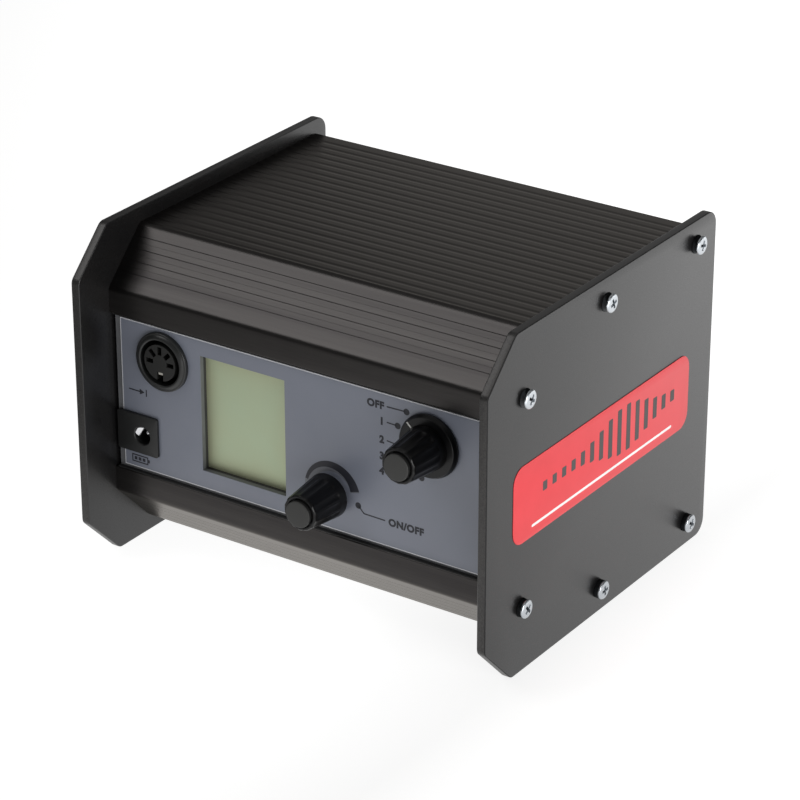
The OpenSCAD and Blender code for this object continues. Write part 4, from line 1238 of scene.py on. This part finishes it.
pointer_white = grained("pointer_white", (226, 226, 222), (240, 240, 236), (0.4, 0.5), 0.2, 0.003)
outward = ways(pointer_angle)
pointer = strip(pointer_start * outward, pointer_end * outward, pointer_width)
pointer_rings = slab(pointer, 0.1, soft_edges(skirt_top, skirt_top + 0.1, 0.04, 2), 3)
add_piece("pointer_line", [loft(on_panel(pointer_rings, selector_x, selector_z))], pointer_white,
          "pointer_white", "selector_pointer", body="selector")

# %% [markdown]
# The light is at the back: behind a clear window stands a block of mirrored cups, one for each lamp.
# Each cup is a tube of rings that starts as its square cell, closes to a circle, follows a parabola
# down to the lamp, and comes back to the square along the rear face.

# %% Reflector cups
mirror_low, mirror_high = corners("reflector_plate")
mirror_size = mirror_high - mirror_low
columns, rows = 5, 3
cell_wide, cell_high = mirror_size[0] / columns, mirror_size[2] / rows
cup_rim = min(cell_wide, cell_high) / 2 - 0.5
cup_foot = 4.13
joint = 0.04


def cup_rings():
    """Rings of one cell, own Z to the back: square, rim, r = foot + (rim - foot) sqrt(t), square."""
    half = np.array([cell_wide, cell_high]) / 2 - joint
    corner = math.atan2(half[1], half[0])
    bounds = [-corner, corner, np.pi - corner, np.pi + corner, TURN - corner]
    angle = np.concatenate([np.linspace(a, b, 24, endpoint=False) for a, b in zip(bounds, bounds[1:])])
    reach = (half / np.maximum(np.abs(ways(angle)), 1e-6)).min(axis=1)
    depth = mirror_size[1]
    share = np.linspace(1, 0, 20)
    radius = np.concatenate([[cup_rim + 0.3], cup_foot + (cup_rim - cup_foot) * np.sqrt(share)])
    height = np.concatenate([[depth], (depth - 0.15) * share])
    cup = polar(radius[:, None], angle, height[:, None])
    return np.concatenate([polar(reach, angle, depth)[None], cup, polar(reach, angle, 0.0)[None]])


def at_lamp(points, column, row):
    """Own X along X, own Y up and own Z to the back, at one lamp's place."""
    across, up, out = np.moveaxis(points, -1, 0)
    x = mirror_low[0] + (column + 0.5) * cell_wide
    z = mirror_low[2] + (row + 0.5) * cell_high
    return np.stack([x + across, mirror_low[1] + out, z + up], axis=-1)


cup_mirror = grained("cup_mirror", (216, 218, 222), (236, 238, 240), (0.06, 0.14), 0.6, 0.002,
                     Metallic=1.0)
cups = [tube(at_lamp(cup_rings(), i, j)) for i in range(columns) for j in range(rows)]
add_piece("mirror_cups", cups, cup_mirror, "reflector", "reflector_plate")

# %% [markdown]
# The window is clear acrylic. Lamps, board, laser and sensor behind it keep their CAD shapes; the
# lamps' material is white on the base and yellow on the dome, told apart by depth. Mouldings and
# contacts further inside get the same finishes.

# %% Window, lamps and sensors
base_thick = 1.05
lamp_base = corners("lamps")[0][1] + base_thick


def lamp_recipe(place):
    """White ceramic up to the base's depth, yellow phosphor beyond it."""
    speckle = place.noise(0.25)
    dome = place.axis("Y").over(lamp_base)
    yellow = speckle.tint((214, 190, 70), (238, 216, 104))
    return {"Base_Color": dome.tint((222, 222, 216), yellow), "Roughness": 0.5 - 0.25 * dome}


def window_recipe(place):
    """Clear sheet with the faintest haze."""
    haze = place.noise(8.0)
    return {"Roughness": 0.01 + 0.03 * haze, "Normal": haze.bump(0.004)}


window_clear = finish("window_clear", window_recipe, Base_Color=(0.97, 0.985, 0.98, 1.0),
                      Transmission_Weight=1.0, IOR=1.49)
black_mould = grained("black_mould", (22, 22, 23), (30, 30, 31), (0.4, 0.55), 0.25, 0.006)
white_mould = grained("white_mould", (214, 214, 209), (226, 226, 222), (0.45, 0.6), 0.3, 0.004)
sensor_dark = grained("sensor_dark", (38, 10, 16), (52, 14, 20), (0.08, 0.16), 0.8, 0.002)
dress(window_clear, "lamp_window")
dress(finish("lamp_phosphor", lamp_recipe), "lamps")
dress(white_mould, "lamp_board", "display_backlight", "battery_straps")
dress(black_mould, "sensor_holder", "selector_switch", "encoder_body", "battery_tray", "ribbon_headers")
dress(contact_metal, "pointer_laser", "selector_collet", "encoder_collet")
dress(sensor_dark, "light_sensor")
print("lamps:", columns * rows)

# %% [markdown]
# A brass bush in the floor takes a camera tripod. It is turned: a collar below the floor, a body
# through it and a flange inside. The thread is a triangle wave that climbs one pitch each turn.

# %% Tripod bush
thread_pitch = 1.27
thread_depth = 0.6
collar_proud = 0.4
collar_edge = 0.15
lead_in = 0.5
bush_radius = 4.5
flange_thick = 1.5
bush_low, bush_high = corners("tripod_bush")
bush_foot, bush_top = bush_low[2], bush_high[2]
collar_radius = (bush_high - bush_low)[0] / 2
collar_face = bush_foot - collar_proud
bush_profile = [
    (thread_radius + lead_in, collar_face),
    (collar_radius - collar_edge, collar_face),
    (collar_radius, collar_face + collar_edge),
    (collar_radius, bush_foot),
    (bush_radius, bush_foot),
    (bush_radius, bush_foot + wall),
    (collar_radius, bush_foot + wall),
    (collar_radius, bush_foot + wall + flange_thick),
    (bush_radius, bush_foot + wall + flange_thick),
    (bush_radius, bush_top),
]


def thread_rings():
    """Bore from the top down: r = radius + depth w(z / pitch + a / turn), faded out at both ends."""
    z = np.linspace(bush_top, collar_face + lead_in, 73)[:, None]
    angle = around(96)
    wave = np.abs(2 * ((z / thread_pitch + angle / TURN) % 1) - 1)
    fade = np.clip(np.minimum(bush_top - z, z - collar_face - lead_in) / thread_depth, 0, 1)
    radius = thread_radius + thread_depth * wave * fade
    return polar(radius, angle, z)


bush_brass = grained("bush_brass", (176, 140, 74), (200, 166, 96), (0.25, 0.4), 1.5, 0.002,
                     Metallic=1.0)
bush = tube(np.concatenate([thread_rings(), lathe(bush_profile)]) + [bush_x, bush_y, 0])
add_piece("bush", [bush], bush_brass, "contact_brass", "tripod_bush")

# %% [markdown]
# The other pieces inside keep their CAD shapes too. Boards have the green of solder mask with copper
# tracks, cells a printed sleeve with a band, and the ribbon a stripe for every wire.

# %% Inner pieces


def board_recipe(place):
    """Green mask; tracks show a little lighter where stretched noise crosses its middle."""
    weave = place.noise(3.0, (6, 1, 1), 0.0) - 0.5
    track = abs(weave).spread(0.03, 0.02)
    fine = place.noise(0.3)
    return coat(track.tint((14, 74, 44), (44, 112, 66)), 0.3 + 0.15 * fine, track.bump(0.03))


def striped(name, axis, pitch, share, first, second, **fixed):
    """Finish of even stripes across one axis, with a fine grain in the gloss."""
    def recipe(place):
        fine = place.noise(0.4)
        stripe = place.maths("FRACT", place.axis(axis) / pitch).over(share)
        return coat(stripe.tint(first, second), 0.35 + 0.2 * fine, fine.bump(0.01))
    return finish(name, recipe, **fixed)


screw_zinc = grained("screw_zinc", (206, 209, 213), (232, 234, 236), (0.2, 0.34), 0.25, 0.003,
                     Metallic=1.0)
board_green = finish("board_green", board_recipe)
cell_sleeve = striped("cell_sleeve", "X", 25.15, 0.75, (36, 92, 140), (196, 200, 204))
ribbon_grey = striped("ribbon_grey", "X", 1.27, 0.82, (150, 152, 158), (96, 98, 104))
can_sleeve = striped("can_sleeve", "Z", 5.0, 0.8, (36, 40, 70), (150, 154, 168))
copper_wire = striped("copper_wire", "Z", 0.8, 0.7, (176, 96, 52), (120, 58, 30), Metallic=0.8)
sink_metal = grained("sink_metal", (150, 152, 155), (172, 174, 177), (0.35, 0.5), 0.1, 0.002,
                     stretch=(1, 1, 60), Metallic=1.0)
dress(board_green, "control_board", "driver_board")
dress(screw_zinc, "panel_studs", "control_board_screws", "driver_pillars", "driver_screws",
      "input_socket_nut", "charge_socket_tags")
dress(sink_metal, "heat_sink")
dress(cell_sleeve, "battery_cells")
dress(can_sleeve, "driver_capacitors")
dress(copper_wire, "driver_inductor")
dress(ribbon_grey, "ribbon_cable")
print("materials in all:", len(bpy.data.materials))

# %% [markdown]
# At the end the view layer is brought up to date.

# %% Update
bpy.context.view_layer.update()
